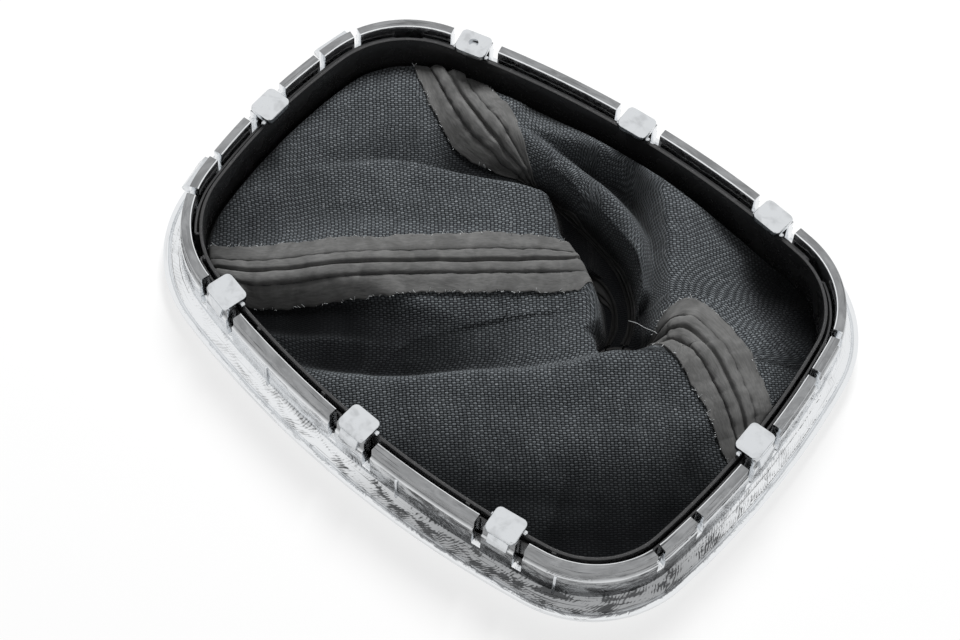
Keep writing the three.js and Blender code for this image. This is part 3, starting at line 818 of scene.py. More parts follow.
@dataclass(frozen=True)
class GlossBlackFinish:
    """Gloss black moulding with faint flow marks and dust."""

    black: tuple = (0.030, 0.030, 0.031)
    dusty: tuple = (0.090, 0.090, 0.091)
    roughness: tuple[float, float] = (0.16, 0.34)
    flow_period: float = 7.0
    dust_period: float = 0.9

    def build(self) -> Any:
        """Make the material."""
        sheet = Shading("gloss_black", IOR=1.5)
        here = sheet.place()
        flow = sheet.noise(here, self.flow_period, 3.0, 0.5, 0.8)
        dust = sheet.noise(here, self.dust_period, 2.0, 0.6).ramp(0.58, 0.80, 0.0, 0.5)
        base = sheet.mix(dust, self.black, self.dusty)
        rough = flow.ramp(0.3, 0.7, *self.roughness) + dust * 0.2
        return sheet.finish(base, rough, (flow - 0.5) * 0.05)


@dataclass(frozen=True)
class WovenFinish:
    """Plain weave backing: each thread crowns over its neighbour, with painted shade in the gaps between, on
    one set of threads and in the cloth's hollows.

    Lengths are millimetres of cloth, and shares are of the full effect.
    """

    name: str
    pitch: float = 0.88
    pitch_across: float = 0.56
    thread: tuple = (0.050, 0.055, 0.060)
    crown: tuple = (0.188, 0.204, 0.217)
    # Painted shade colour, in the gaps between the threads and in the cloth's hollows.
    gap: tuple = (0.002, 0.0022, 0.0026)
    fleck: tuple = (0.30, 0.31, 0.32)
    relief: float = 0.22
    wander: float = 0.7
    wander_periods: tuple[float, float] = (6.0, 5.0)
    dip: float = 0.55
    # Share by which one set of threads is painted darker, as painted shade.
    weft_darker: float = 0.8
    worn_period: float = 17.0
    worn_share: float = 0.3
    fuzz_period: float = 0.22
    fuzz: float = 0.03

    def build(self) -> Any:
        """Make the material. It reads the piece's own UV map, in millimetres of cloth."""
        sheet = Shading(self.name, Roughness=0.85, Specular_IOR_Level=0.1, Sheen_Weight=0.05,
                        Sheen_Roughness=0.4)
        flat = sheet.flat("cloth")
        u0, v0, _ = sheet.split(flat)
        drift = sheet.noise(flat, self.wander_periods[0], 2.0)
        drift_across = sheet.noise(sheet.join(v0, u0, 7.0), self.wander_periods[1], 2.0)
        u = (u0 + (drift - 0.5) * self.wander) / self.pitch
        v = (v0 + (drift_across - 0.5) * self.wander) / self.pitch_across
        a, b = u.fraction() * 2.0 - 1.0, v.fraction() * 2.0 - 1.0
        parity = ((u.floor() + v.floor()) * 0.5).fraction() * 2.0
        warp, weft = ((1.0 - one * one).most(0.0).root() * (1.0 - other * other * self.dip)
                      for one, other in ((a, b), (b, a)))
        crown = weft + (warp - weft) * parity
        uneven, uneven_across = (sheet.noise(sheet.join(one.floor(), other * 0.06, layer), 1.3, 1.0)
                                 for one, other, layer in ((u, v, 1.0), (v, u, 5.0)))
        thread = (uneven + (uneven_across - uneven) * parity).ramp(0.3, 0.7, 0.9, 1.1)
        height = crown * thread
        worn = sheet.noise(flat, self.worn_period, 3.0, 0.55).ramp(0.35, 0.7)
        cell = sheet.noise(sheet.join(u.floor(), v.floor(), 3.0), 0.37)
        # Painted shade: one set of threads is painted darker than the other.
        share = (worn * self.worn_share + cell.ramp(0.25, 0.75, 0.3, 1.0)) * (1.0 - parity * self.weft_darker)
        pale = sheet.mix(share, self.thread, self.crown)
        flecked = sheet.mix(cell.ramp(0.66, 0.74) * height.ramp(0.8, 1.0), pale, self.fleck)
        # Painted shade: the gap colour where the threads sink between each other, and in the cloth's hollows
        # by height.
        base = sheet.mix(height.ramp(0.25, 0.85) * sheet.out_of_hollow(), self.gap, flecked)
        fuzz = sheet.noise(flat, self.fuzz_period, 2.0, 0.7)
        return sheet.finish(base, None, height * self.relief + (fuzz - 0.5) * self.fuzz, 0.9)


@dataclass(frozen=True)
class LeatheretteFinish:
    """Smooth coated cloth, with short fine streaks across the allowance, soft creases and painted shade in
    the hollows.
    """

    name: str = "leatherette"
    base: tuple = (0.096, 0.096, 0.095)
    worn: tuple = (0.165, 0.165, 0.163)
    # Painted shade colour in the cloth's hollows.
    deep: tuple = (0.004, 0.004, 0.004)
    roughness: tuple[float, float] = (0.50, 0.66)
    grain: float = 0.09
    crease: float = 0.22

    def build(self) -> Any:
        """Make the material. It reads the piece's own UV map, in millimetres of cloth."""
        sheet = Shading(self.name, Specular_IOR_Level=0.22)
        flat = sheet.flat("cloth")
        u, v, _ = sheet.split(flat)
        streak = sheet.noise(sheet.join(u * 0.25, v), 0.45, 3.0, 0.6)
        patch = sheet.noise(flat, 5.0, 3.0, 0.55, 0.6)
        crease = sheet.noise(sheet.join(u * 0.4, v), 2.4, 2.0, 0.5, 0.8)
        share = patch.ramp(0.32, 0.72, 0.0, 0.75) + (streak - 0.5) * 1.5
        # Painted shade: the colour goes to the painted shade colour in the hollows, by height.
        base = sheet.mix(sheet.out_of_hollow(), self.deep, sheet.mix(share, self.base, self.worn))
        rough = patch.ramp(0.3, 0.7, *self.roughness)
        return sheet.finish(base, rough, (streak - 0.5) * self.grain + (crease - 0.5) * self.crease)


@dataclass(frozen=True)
class ThreadFinish:
    """Twisted sewing thread or a bare fibre."""

    name: str
    base: tuple
    shade: tuple
    twist: float = 0.4

    def build(self) -> Any:
        """Make the material."""
        sheet = Shading(self.name, Roughness=0.6, Sheen_Weight=0.2)
        x, y, z = sheet.split(sheet.place())
        ply = sheet.math("SINE", (x * 1.4 + y + z) * (2 * math.pi / self.twist)) * 0.5 + 0.5
        return sheet.finish(sheet.mix(ply, self.base, self.shade), None, ply * 0.04)


# Trim frame ----------------------------------------------------------------------------------


@dataclass(frozen=True)
class TrimFrame:
    """Plated moulding: flange, slotted wall with snap clips, hook tabs and an inner lip."""

    outline: Outline
    wall_height: float = 18.0
    wall_thickness: float = 2.3
    rim_height: float = 4.6
    wall_foot_height: float = 6.0
    lip_height: float = 2.0
    ledge_step: float = 0.6
    ledge_drop: float = 3.0
    flange_reach: float = 7.5
    rim_land: float = 1.2
    rim_groove: float = 0.35
    crown_land: float = 3.0
    lip_reach: float = 3.2
    edge_round: float = 0.35
    clip_xs: tuple[float, ...] = (-44.6, 0.0, 40.4)
    head_length: float = 8.0
    head_depth: float = 6.6
    head_corner: float = 1.4
    head_thickness: float = 1.9
    head_rise: float = 1.0
    head_round: float = 0.42
    clip_slot_width: float = 2.3
    slot_depth: float = 10.0
    barb_reach: float = 1.2
    barb_height: float = 3.2
    bar_radius: float = 0.6
    bar_overhang: float = 0.7
    bar_offset: float = -2.1
    hook_y: float = 24.0
    hook_length: float = 9.0
    hook_slot_width: float = 1.8
    hook_reach: float = 2.4
    narrow_slot_ys: tuple[float, ...] = (22.7, 34.2)
    narrow_slot_width: float = 2.0
    narrow_slot_depth: float = 7.0
    rib_xs: tuple[float, ...] = (-26.0, 14.0, 54.0)
    rib_width: float = 0.7
    rib_stand: float = 0.5
    pin_mark_radius: float = 1.55
    dimple_radius: float = 1.2
    dimple_depth: float = 1.0

    @property
    def wall_foot(self) -> float:
        """Offset of the wall's outer face below its ledge."""
        return self.wall_thickness + self.ledge_step

    @property
    def ledge_height(self) -> float:
        """Height of the ledge on the wall's outer face."""
        return self.wall_height - self.ledge_drop

    @property
    def head_top(self) -> float:
        """Height of the clip heads' tops."""
        return self.wall_height + self.head_rise

    def section(self) -> Profile:
        """The moulding's own section as (offset, height) pairs."""
        r, lip, reach = self.edge_round, self.lip_height, self.flange_reach
        bowl, rim_inner = 0.3 * self.rim_height, self.flange_reach - self.rim_land
        lean = [(reach - bowl * (2 - 1.8 * t), bowl * (0.25 + 1.75 * t**2.2)) for t in np.linspace(0, 1, 6)]
        return [
            (0, self.wall_height), (0, lip), (-self.lip_reach, lip), (-self.lip_reach, lip / 2),
            (-self.lip_reach + lip / 2, lip / 8), (-self.lip_reach + lip, 0),
            (-self.lip_reach + lip + self.crown_land, 0), *lean, (reach, self.rim_height),
            (rim_inner, self.rim_height), (rim_inner - self.rim_groove, self.rim_height - self.rim_groove),
            (rim_inner - 2 * self.rim_groove, self.rim_height + self.rim_groove),
            (self.wall_foot + 2 * r, self.wall_foot_height - r),
            (self.wall_foot, self.wall_foot_height + 2 * r),
            (self.wall_foot, self.ledge_height - r), (self.wall_thickness, self.ledge_height),
            (self.wall_thickness, self.wall_height),
        ]

    def clip_runs(self) -> list[float]:
        """Runs of the eight clips."""
        return [0.0, self.outline.perimeter / 2, *self.outline.both_at(self.clip_xs)]

    def _slots(self) -> Any:
        """One cutter for all slots in the wall."""
        way, shapes = self.outline, []

        def add(run: float, width: float, depth: float) -> None:
            cut = block(width, -1, self.wall_foot + 3, self.wall_height - depth, self.head_top + 2)
            shapes.append((cut, run))

        for run in self.clip_runs():
            for side in (-1, 1):
                add(run + side * (self.head_length + self.clip_slot_width) / 2, self.clip_slot_width,
                    self.slot_depth)
        for run in way.both(way.run_at_round_y(self.hook_y)):
            for side in (-1, 1):
                add(run + side * (self.hook_length + self.hook_slot_width) / 2, self.hook_slot_width,
                    self.slot_depth)
        for y in self.narrow_slot_ys:
            for run in way.both(way.run_at_blunt_y(y)):
                add(run, self.narrow_slot_width, self.narrow_slot_depth)
        return placed("slots", way, shapes)

    def _head(self) -> Any:
        """One clip: rounded square plate, the bar under it and the barb outside."""
        middle = self.wall_thickness + self.edge_round - self.head_depth / 2
        x, y, c = self.head_length / 2, self.head_depth / 2, self.head_corner
        turns = np.linspace(0, math.pi / 2, 6)
        rim = [(sx * (x - c) + c * math.cos(t + start), middle + sy * (y - c) + c * math.sin(t + start))
               for sx, sy, start in ((1, 1, 0), (-1, 1, math.pi / 2), (-1, -1, math.pi),
                                     (1, -1, 1.5 * math.pi))
               for t in turns]
        under = self.head_top - self.head_thickness
        plate = bevelled(mesh_object("plate", *upright(rim, under, self.head_top)), self.head_round, 3, 60)
        catch, root = under - self.barb_height, self.wall_thickness - 0.7
        reach = self.wall_thickness + self.barb_reach
        shape = [(root, catch - 0.6), (reach - 0.2, catch), (reach, catch + 0.7),
                 (self.wall_thickness + self.barb_reach / 3, self.wall_height - 0.7),
                 (root, self.wall_height - 0.3)]
        barb = bevelled(mesh_object("barb", *extruded(shape, self.head_length - 2 * self.head_corner)), 0.2)
        outward(barb)
        half = self.head_length / 2 + self.bar_overhang - self.bar_radius
        bar = self._capsule(half, self.bar_radius, self.bar_offset, under - self.bar_radius + self.edge_round)
        mark = self._pin_mark(middle)
        return merged("clip", [plate, barb, bar, mark])

    def _capsule(self, half: float, radius: float, offset: float, height: float) -> Any:
        """A round-ended bar along X."""
        turns = np.linspace(-math.pi / 2, math.pi / 2, 9)
        spine = [(math.copysign(half, math.sin(t)) + radius * math.sin(t), radius * math.cos(t))
                 for t in turns]
        around = np.linspace(0, 2 * math.pi, 14, endpoint=False)
        points = np.array([(x, offset + r * math.cos(a), height + r * math.sin(a))
                           for x, r in spine for a in around])
        n = len(around)
        faces = [(i * n + j, i * n + (j + 1) % n, (i + 1) * n + (j + 1) % n, (i + 1) * n + j)
                 for i in range(len(spine) - 1) for j in range(n)]
        bar = mesh_object("bar", points, faces)
        outward(bar, weld=1e-7)
        return bar

    def _pin_mark(self, middle: float) -> Any:
        """The faint raised ring that an ejector pin leaves on a head."""
        around = np.linspace(0, 2 * math.pi, 28, endpoint=False)
        shape = [(-0.18, -0.05), (-0.06, 0.09), (0.06, 0.09), (0.18, -0.05)]
        ring = [(self.pin_mark_radius + r, h) for r, h in shape]
        points = np.array([(r * math.cos(a), middle + r * math.sin(a), self.head_top + h)
                           for a in around for r, h in ring])
        mark = mesh_object("mark", points, loop_faces(len(around), len(shape)))
        outward(mark)
        return mark

    def _hooks_and_ribs(self) -> Any:
        """Hook tabs of the round end and the thin upright ribs outside the wall."""
        way = self.outline
        catch, root = self.head_top - self.head_thickness - self.barb_height, self.wall_thickness - 0.7
        reach = self.wall_thickness + self.hook_reach
        hook = extruded([(root, catch - 0.5), (reach - 0.3, catch - 0.1), (reach, catch + 0.6),
                         (self.wall_thickness + 0.8, self.wall_height - 0.5), (root, self.wall_height - 0.3)],
                        self.hook_length - 0.4)
        rib = block(self.rib_width, self.wall_foot / 2, self.wall_foot + self.rib_stand,
                    self.wall_foot_height - 1, self.ledge_height - 0.7)
        shapes = [(hook, run) for run in way.both(way.run_at_round_y(self.hook_y))]
        shapes += [(rib, run) for run in way.both_at(self.rib_xs)]
        return bevelled(placed("hooks_and_ribs", way, shapes), 0.15)

    def _dimple(self) -> Any:
        """Cutter for the round recess in one far clip's head."""
        turns = np.linspace(0, 2 * math.pi, 32, endpoint=False)
        middle = self.wall_thickness + self.edge_round - self.head_depth / 2
        rim = [(self.dimple_radius * math.cos(t), middle + self.dimple_radius * math.sin(t)) for t in turns]
        shape = upright(rim, self.head_top - self.dimple_depth, self.head_top + self.dimple_depth)
        return placed("dimple", self.outline, [(shape, self.outline.run_at_x(self.clip_xs[0]))])

    def build(self, swirled: Any, plain: Any) -> Any:
        """Make the moulding.

        Args:
            swirled: Plating of the wall and flange.
            plain: Plating of the clips.

        Returns:
            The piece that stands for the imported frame.
        """
        body = swept("body", self.outline, rounded_profile(self.section(), 0.3), 1.6, 0.045)
        carved(body, self._slots())
        bevelled(body, 0.14, 2, 50)
        head = self._head()
        x, y, heading = self.outline.at(np.array(self.clip_runs()))
        heads = mesh_object("heads", np.stack([x, y, np.zeros_like(x)], -1), [])
        turn = heads.data.attributes.new("turn", "FLOAT", "POINT")
        turn.data.foreach_set("value", (heading - math.pi / 2).astype(np.float32))
        seated_copies().grow(heads, Copy=head, Finish=plain)
        discard(head)
        carved(heads, self._dimple())
        hooks = self._hooks_and_ribs()
        wall_faces, *fitting_faces = (len(part.data.polygons) for part in (body, heads, hooks))
        piece = merged("plated_trim_frame", [body, heads, hooks])
        dressed(piece, [swirled, plain], np.repeat([0, 1], [wall_faces, sum(fitting_faces)]))
        return declare(piece, "plated_trim", "trim_frame")


def declare(piece: Any, slot: str, *nodes: str) -> Any:
    """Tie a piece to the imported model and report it."""
    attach(piece, "root")
    if nodes:
        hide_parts(*nodes)
    faces = sum(len(p.vertices) - 2 for p in piece.data.polygons)
    LOG.info("%s: %d triangles", piece.name, faces)
    return piece


# Retaining ring ------------------------------------------------------------------------------


@dataclass(frozen=True)
class RetainingRing:
    """Black upright channel that clamps the gaiter's edge on the frame's lip."""

    outline: Outline
    clearance: float = 0.5
    wall: float = 0.8
    channel: float = 0.6
    outer_wall: float = 0.6
    web: float = 1.2
    outer_drop: float = 1.2
    top: float = 15.9
    bottom: float = 3.7
    gap_length: float = 7.0
    gap_xs: tuple[float, ...] = (-60.0, 2.0, 56.0)
    pip_xs: tuple[float, ...] = (-56.5, -34.0, -12.0, 30.0, 52.0)

    @property
    def inner(self) -> float:
        """Offset of the ring's inner face."""
        return -(self.clearance + self.outer_wall + self.channel + self.wall)

    def _gaps(self) -> Any:
        """Cutter for the gaps in the ring's outer wall."""
        inner_out, web_top = self.inner + self.wall, self.bottom + self.web
        shapes = [(block(self.gap_length, inner_out, 1.0, web_top, self.top + 1), run)
                  for run in self.outline.both_at(self.gap_xs)]
        return placed("gaps", self.outline, shapes)

    def _webs_and_pips(self) -> Any:
        """End webs of each gap, and the small round nubs on the channel's rim."""
        inner_out, web_top = self.inner + self.wall, self.bottom + self.web
        outer_top = self.top - self.outer_drop
        web = block(self.outer_wall, inner_out - self.wall / 2, -self.clearance - self.outer_wall / 2,
                    web_top - self.web / 2, outer_top)
        pip = block(1.1, inner_out - 0.2, inner_out + 0.45, outer_top - 3, self.top - 0.15)
        shapes = [(web, run + side * self.gap_length / 2)
                  for run in self.outline.both_at(self.gap_xs) for side in (-1, 1)]
        shapes += [(pip, run) for run in self.outline.both_at(self.pip_xs)]
        return bevelled(placed("webs", self.outline, shapes), 0.12)

    def build(self, finish: Any) -> Any:
        """Make the ring.

        Args:
            finish: Black moulding material.

        Returns:
            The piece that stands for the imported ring.
        """
        outer = -self.clearance
        outer_in, inner_out = outer - self.outer_wall, self.inner + self.wall
        section = [(self.inner, self.top), (self.inner, self.bottom), (outer, self.bottom),
                   (outer, self.top - self.outer_drop), (outer_in, self.top - self.outer_drop),
                   (outer_in, self.bottom + self.web), (inner_out, self.bottom + self.web),
                   (inner_out, self.top)]
        body = swept("ring", self.outline, rounded_profile(section, 0.22, 2), 1.8, 0.05)
        carved(body, self._gaps())
        piece = merged("black_retaining_ring", [body, self._webs_and_pips()])
        dressed(piece, [finish])
        return declare(piece, "black_plastic", "retaining_ring")


# Gaiter --------------------------------------------------------------------------------------


def spline(points: Sequence[Sequence[float]], shares: Array) -> Array:
    """Centripetal Catmull-Rom curve through points, at shares from 0 to 1 of its spans."""
    p = np.asarray(points, float)
    p = np.vstack([2 * p[0] - p[1], p, 2 * p[-1] - p[-2]])
    spans = len(p) - 3
    place = np.clip(np.asarray(shares, float), 0, 1) * spans
    i = np.minimum(place.astype(int), spans - 1)
    t = (place - i)[:, None]
    p0, p1, p2, p3 = p[i], p[i + 1], p[i + 2], p[i + 3]
    gap = [np.maximum(np.linalg.norm(b - a, axis=1) ** 0.5, 1e-4)[:, None]
           for a, b in ((p0, p1), (p1, p2), (p2, p3))]
    start = ((p1 - p0) / gap[0] - (p2 - p0) / (gap[0] + gap[1]) + (p2 - p1) / gap[1]) * gap[1]
    end = ((p2 - p1) / gap[1] - (p3 - p1) / (gap[1] + gap[2]) + (p3 - p2) / gap[2]) * gap[1]
    return (p1 + start * t + (-3 * p1 + 3 * p2 - 2 * start - end) * t**2
            + (2 * p1 - 2 * p2 + start + end) * t**3)


def eased(value: Array, low: float, high: float) -> Array:
    """Smooth step from 0 to 1."""
    t = np.clip((value - low) / (high - low), 0, 1)
    return t * t * (3 - 2 * t)


def bilinear(table: Array, s: Array, t: Array) -> Array:
    """Read a table between its cells, at places counted in cells."""
    i, j = s.astype(int), t.astype(int)
    a, b = s - i, t - j
    return ((1 - a) * (1 - b) * table[i, j] + a * (1 - b) * table[i + 1, j]
            + (1 - a) * b * table[i, j + 1] + a * b * table[i + 1, j + 1])


def halved(low: Array, high: Array, holds: Callable[[Array], Array], steps: int = 34) -> Array:
    """Largest values at which a test still holds, by halving the span between two bounds."""
    for _ in range(steps):
        middle = (low + high) / 2
        held = holds(middle)
        low, high = np.where(held, middle, low), np.where(held, high, middle)
    return low


def against_line(line: Array, x: Array, y: Array) -> tuple[Array, Array, Array, Array]:
    """How plan points lie against a plan line.

    Args:
        line: Points of the line, one a row.
        x: First coordinates of the plan points.
        y: Second coordinates of the plan points.

    Returns:
        Distance, place along the line in spans, side (above zero on the left) and distance past its end.
    """
    nearest = np.full(x.shape, np.inf)
    place, side = np.zeros(x.shape), np.zeros(x.shape)
    for i, (start, end) in enumerate(zip(line[:-1], line[1:])):
        dx, dy = end[0] - start[0], end[1] - start[1]
        along = ((x - start[0]) * dx + (y - start[1]) * dy) / (dx * dx + dy * dy)
        t = np.clip(along, 0, 1)
        away = np.hypot(x - start[0] - t * dx, y - start[1] - t * dy)
        better = away < nearest
        nearest = np.where(better, away, nearest)
        place = np.where(better, i + t, place)
        side = np.where(better, dx * (y - start[1]) - dy * (x - start[0]), side)
    return nearest, place, side, np.maximum(along - 1, 0) * math.hypot(dx, dy)


@dataclass(frozen=True)
class Fold:
    """A round crest along a path of (x, y, height), falling away to its left and right."""

    path: tuple[tuple[float, float, float], ...]
    roundness: float
    left_slope: float
    right_slope: float
    end_slope: float = 0.0
    samples: int = 25

    def height(self, x: Array, y: Array) -> Array:
        """Height of this fold's face over plan points, which also falls away ahead of its end."""
        line = spline(self.path, np.linspace(0, 1, self.samples))
        nearest, place, side, ahead = against_line(line, x, y)
        crest = np.interp(place, np.arange(self.samples), line[:, 2])
        slope = np.where(side > 0, self.left_slope, self.right_slope)
        fallen = slope * (np.hypot(nearest, self.roundness) - self.roundness)
        return crest - fallen - self.end_slope * (np.hypot(ahead, 1.0) - 1.0)


@dataclass(frozen=True)
class Hollow:
    """A steep-sided hollow along a path of (x, y, floor height, half width)."""

    path: tuple[tuple[float, float, float, float], ...]
    slope: float
    foot: float = 0.6
    samples: int = 49

    def limit(self, x: Array, y: Array) -> Array:
        """The most height that the hollow leaves the cloth over plan points."""
        line = spline(self.path, np.linspace(0, 1, self.samples))
        least = np.full(x.shape, np.inf)
        for x0, y0, floor, half in line:
            beside = np.maximum(np.hypot(x - x0, y - y0) - half, 0)
            least = np.minimum(least, floor + self.slope * (np.hypot(beside, self.foot) - self.foot))
        return least


@dataclass(frozen=True)
class Ripple:
    """A small wrinkle: a ridge, or a furrow when its height is below zero."""

    path: tuple[tuple[float, float], ...]
    height: float
    spread: float
    samples: int = 16

    def rise(self, x: Array, y: Array) -> Array:
        """What the wrinkle adds to the cloth's height."""
        nearest, place, _, _ = against_line(spline(self.path, np.linspace(0, 1, self.samples)), x, y)
        share = np.clip(place / (self.samples - 1), 0.02, 0.98)
        return self.height * np.exp(-((nearest / self.spread) ** 2)) * np.sin(math.pi * share) ** 0.5


@dataclass(frozen=True)
class Seam:
    """One sewn seam: where it crosses the ring, its plan path and where it meets the neck."""

    name: str
    run: float
    path: tuple[tuple[float, float, float], ...]
    neck: float
    narrow_left: tuple[float, float] = (0.8, 1.1)
    narrow_right: tuple[float, float] = (0.8, 1.1)


@dataclass
class Cloth:
    """The lie of the gaiter: folds that run together, tucked in at the ring and the neck."""

    outline: Outline
    folds: tuple[Fold, ...]
    hollows: tuple[Hollow, ...]
    ripples: tuple[Ripple, ...]
    ring_inner: float = -2.8
    clamp_height: float = 3.4
    edge_rise: float = 2.6
    valley_height: float = 3.6
    hollow_blend: float = 1.1
    fold_blend: float = 0.9
    neck: tuple[float, float] = (31.0, 5.6)
    neck_turn: float = 0.598
    neck_half_length: float = 5.2
    neck_half_width: float = 3.1
    near_mouth: float = 1.1
    far_mouth: float = 5.5
    mouth_blend: float = 4.0
    neck_height: float = 2.5
    thickness: float = 0.9
    grid: float = 0.25
    heights: Array = field(init=False)
    undersides: Array = field(init=False)

    def __post_init__(self) -> None:
        """Work the heights out once on a fine grid."""
        self.x0, self.y0 = -self.outline.half_length - 2, -self.outline.half_width - 2
        xs, ys = (np.arange(0, -2 * low, self.grid) + low for low in (self.x0, self.y0))
        self.heights = self._exact(*np.meshgrid(xs, ys, indexing="ij"))
        self.undersides = self._underside()

    def _underside(self) -> Array:
        """The lower face, which is as far from the upper one as the cloth is thick, also on steep folds."""
        reach = int(self.thickness / self.grid)
        padded = np.pad(self.heights, reach, mode="edge")
        lowest = np.full(self.heights.shape, np.inf)
        rows, across = self.heights.shape
        for i in range(-reach, reach + 1):
            for j in range(-reach, reach + 1):
                away = math.hypot(i, j) * self.grid
                if away <= self.thickness:
                    moved = padded[reach + i:reach + i + rows, reach + j:reach + j + across]
                    lowest = np.minimum(lowest, moved - math.sqrt(self.thickness**2 - away**2))
        return lowest

    def _exact(self, x: Array, y: Array) -> Array:
        """Height of the upper face: folds and hollows, tucked in at the ring and drawn to the neck."""
        levels = [np.full(x.shape, self.valley_height), *(fold.height(x, y) for fold in self.folds)]
        blended = self.fold_blend * np.log(sum(np.exp(level / self.fold_blend) for level in levels))
        for hollow in self.hollows:
            blended = self._soft_least(blended, hollow.limit(x, y), self.hollow_blend)
        blended = blended + sum(ripple.rise(x, y) for ripple in self.ripples) + self._unrest(x, y)
        inside = np.maximum(0, self.ring_inner - self.outline.against(x, y)[0])
        rising = self._soft_least(blended, self.clamp_height + self.edge_rise * inside)
        away, deep, _ = self.from_neck(x, y)
        mouth = self.near_mouth + (self.far_mouth - self.near_mouth) * eased(deep, 0.0, self.mouth_blend)
        return self.neck_height + (rising - self.neck_height) * eased(away / mouth, 0.0, 1.0)

    def from_neck(self, x: Array, y: Array) -> tuple[Array, Array, Array]:
        """How far plan points lie outside the neck's oval, along its short axis, and their turn."""
        c, s = math.cos(self.neck_turn), math.sin(self.neck_turn)
        dx, dy = np.asarray(x) - self.neck[0], np.asarray(y) - self.neck[1]
        along, deep = dx * c + dy * s, dy * c - dx * s

        def outside(grown: Array) -> Array:
            return np.hypot(along / (self.neck_half_length + grown),
                            deep / (self.neck_half_width + grown)) > 1

        away = halved(np.full(along.shape, 0.05 - self.neck_half_width),
                      np.full(along.shape, 4.0 * self.outline.half_length), outside)
        turn = np.arctan2(deep / (self.neck_half_width + away), along / (self.neck_half_length + away))
        return away, deep, turn

    @staticmethod
    def _soft_least(a: Array, b: Array, blend: float = 0.8) -> Array:
        """The smaller of two heights, with a round change from one to the other."""
        share = np.clip(0.5 + (b - a) / (2 * blend), 0, 1)
        return b + (a - b) * share - blend * share * (1 - share) * 0.5

    @staticmethod
    def _unrest(x: Array, y: Array) -> Array:
        """Small uneven waves of a cloth that has lain folded."""
        rng = np.random.default_rng(11)
        total = np.zeros(x.shape)
        for _ in range(16):
            turn, length, phase = rng.uniform(0, math.pi), rng.uniform(6, 17), rng.uniform(0, 2 * math.pi)
            along = (x * math.cos(turn) + y * math.sin(turn)) * 2 * math.pi / length + phase
            total += 0.0042 * length * np.sin(along + 0.8 * np.sin(along * 0.37 + phase))
        return total

    def _read(self, table: Array, x: Array, y: Array) -> Array:
        """A table of heights, read over plan points."""
        return bilinear(table, *(np.clip((np.asarray(value) - start) / self.grid, 0, size - 1.001)
                                 for value, start, size in zip((x, y), (self.x0, self.y0), table.shape)))

    def height(self, x: Array, y: Array) -> Array:
        """Height of the cloth's upper face over plan points."""
        return self._read(self.heights, x, y)

    def underside(self, x: Array, y: Array) -> Array:
        """Height of the cloth's lower face over plan points."""
        return self._read(self.undersides, x, y)

    def normal(self, x: Array, y: Array) -> Array:
        """Upward normal of the cloth over plan points."""
        step = 0.6
        slope_x = (self.height(x + step, y) - self.height(x - step, y)) / (2 * step)
        slope_y = (self.height(x, y + step) - self.height(x, y - step)) / (2 * step)
        normal = np.stack([-slope_x, -slope_y, np.ones_like(slope_x)], -1)
        return normal / np.linalg.norm(normal, axis=-1, keepdims=True)

    def neck_point(self, angle: Array | float, grown: float = 0.0) -> tuple[Array, Array]:
        """Plan point on the neck's oval, grown outwards."""
        along = (self.neck_half_length + grown) * np.cos(angle)
        deep = (self.neck_half_width + grown) * np.sin(angle)
        c, s = math.cos(self.neck_turn), math.sin(self.neck_turn)
        return self.neck[0] + along * c - deep * s, self.neck[1] + along * s + deep * c

    def unrolled(self, x: Array, y: Array, degrees: float) -> Array:
        """Cloth lengths along and across a thread direction, for the weave."""
        turn, step, reach = math.radians(degrees), 0.5, 92.0
        ax = np.arange(-reach, reach, step)
        s, t = np.meshgrid(ax, ax, indexing="ij")
        c, n = math.cos(turn), math.sin(turn)
        z = self.height(s * c - t * n, s * n + t * c)
        along = np.cumsum(np.hypot(np.gradient(z, step, axis=0), 1), axis=0) * step
        across = np.cumsum(np.hypot(np.gradient(z, step, axis=1), 1), axis=1) * step
        place = (x * c + y * n + reach) / step, (-x * n + y * c + reach) / step
        return np.stack([bilinear(lengths, *place) for lengths in (along, across)], -1)


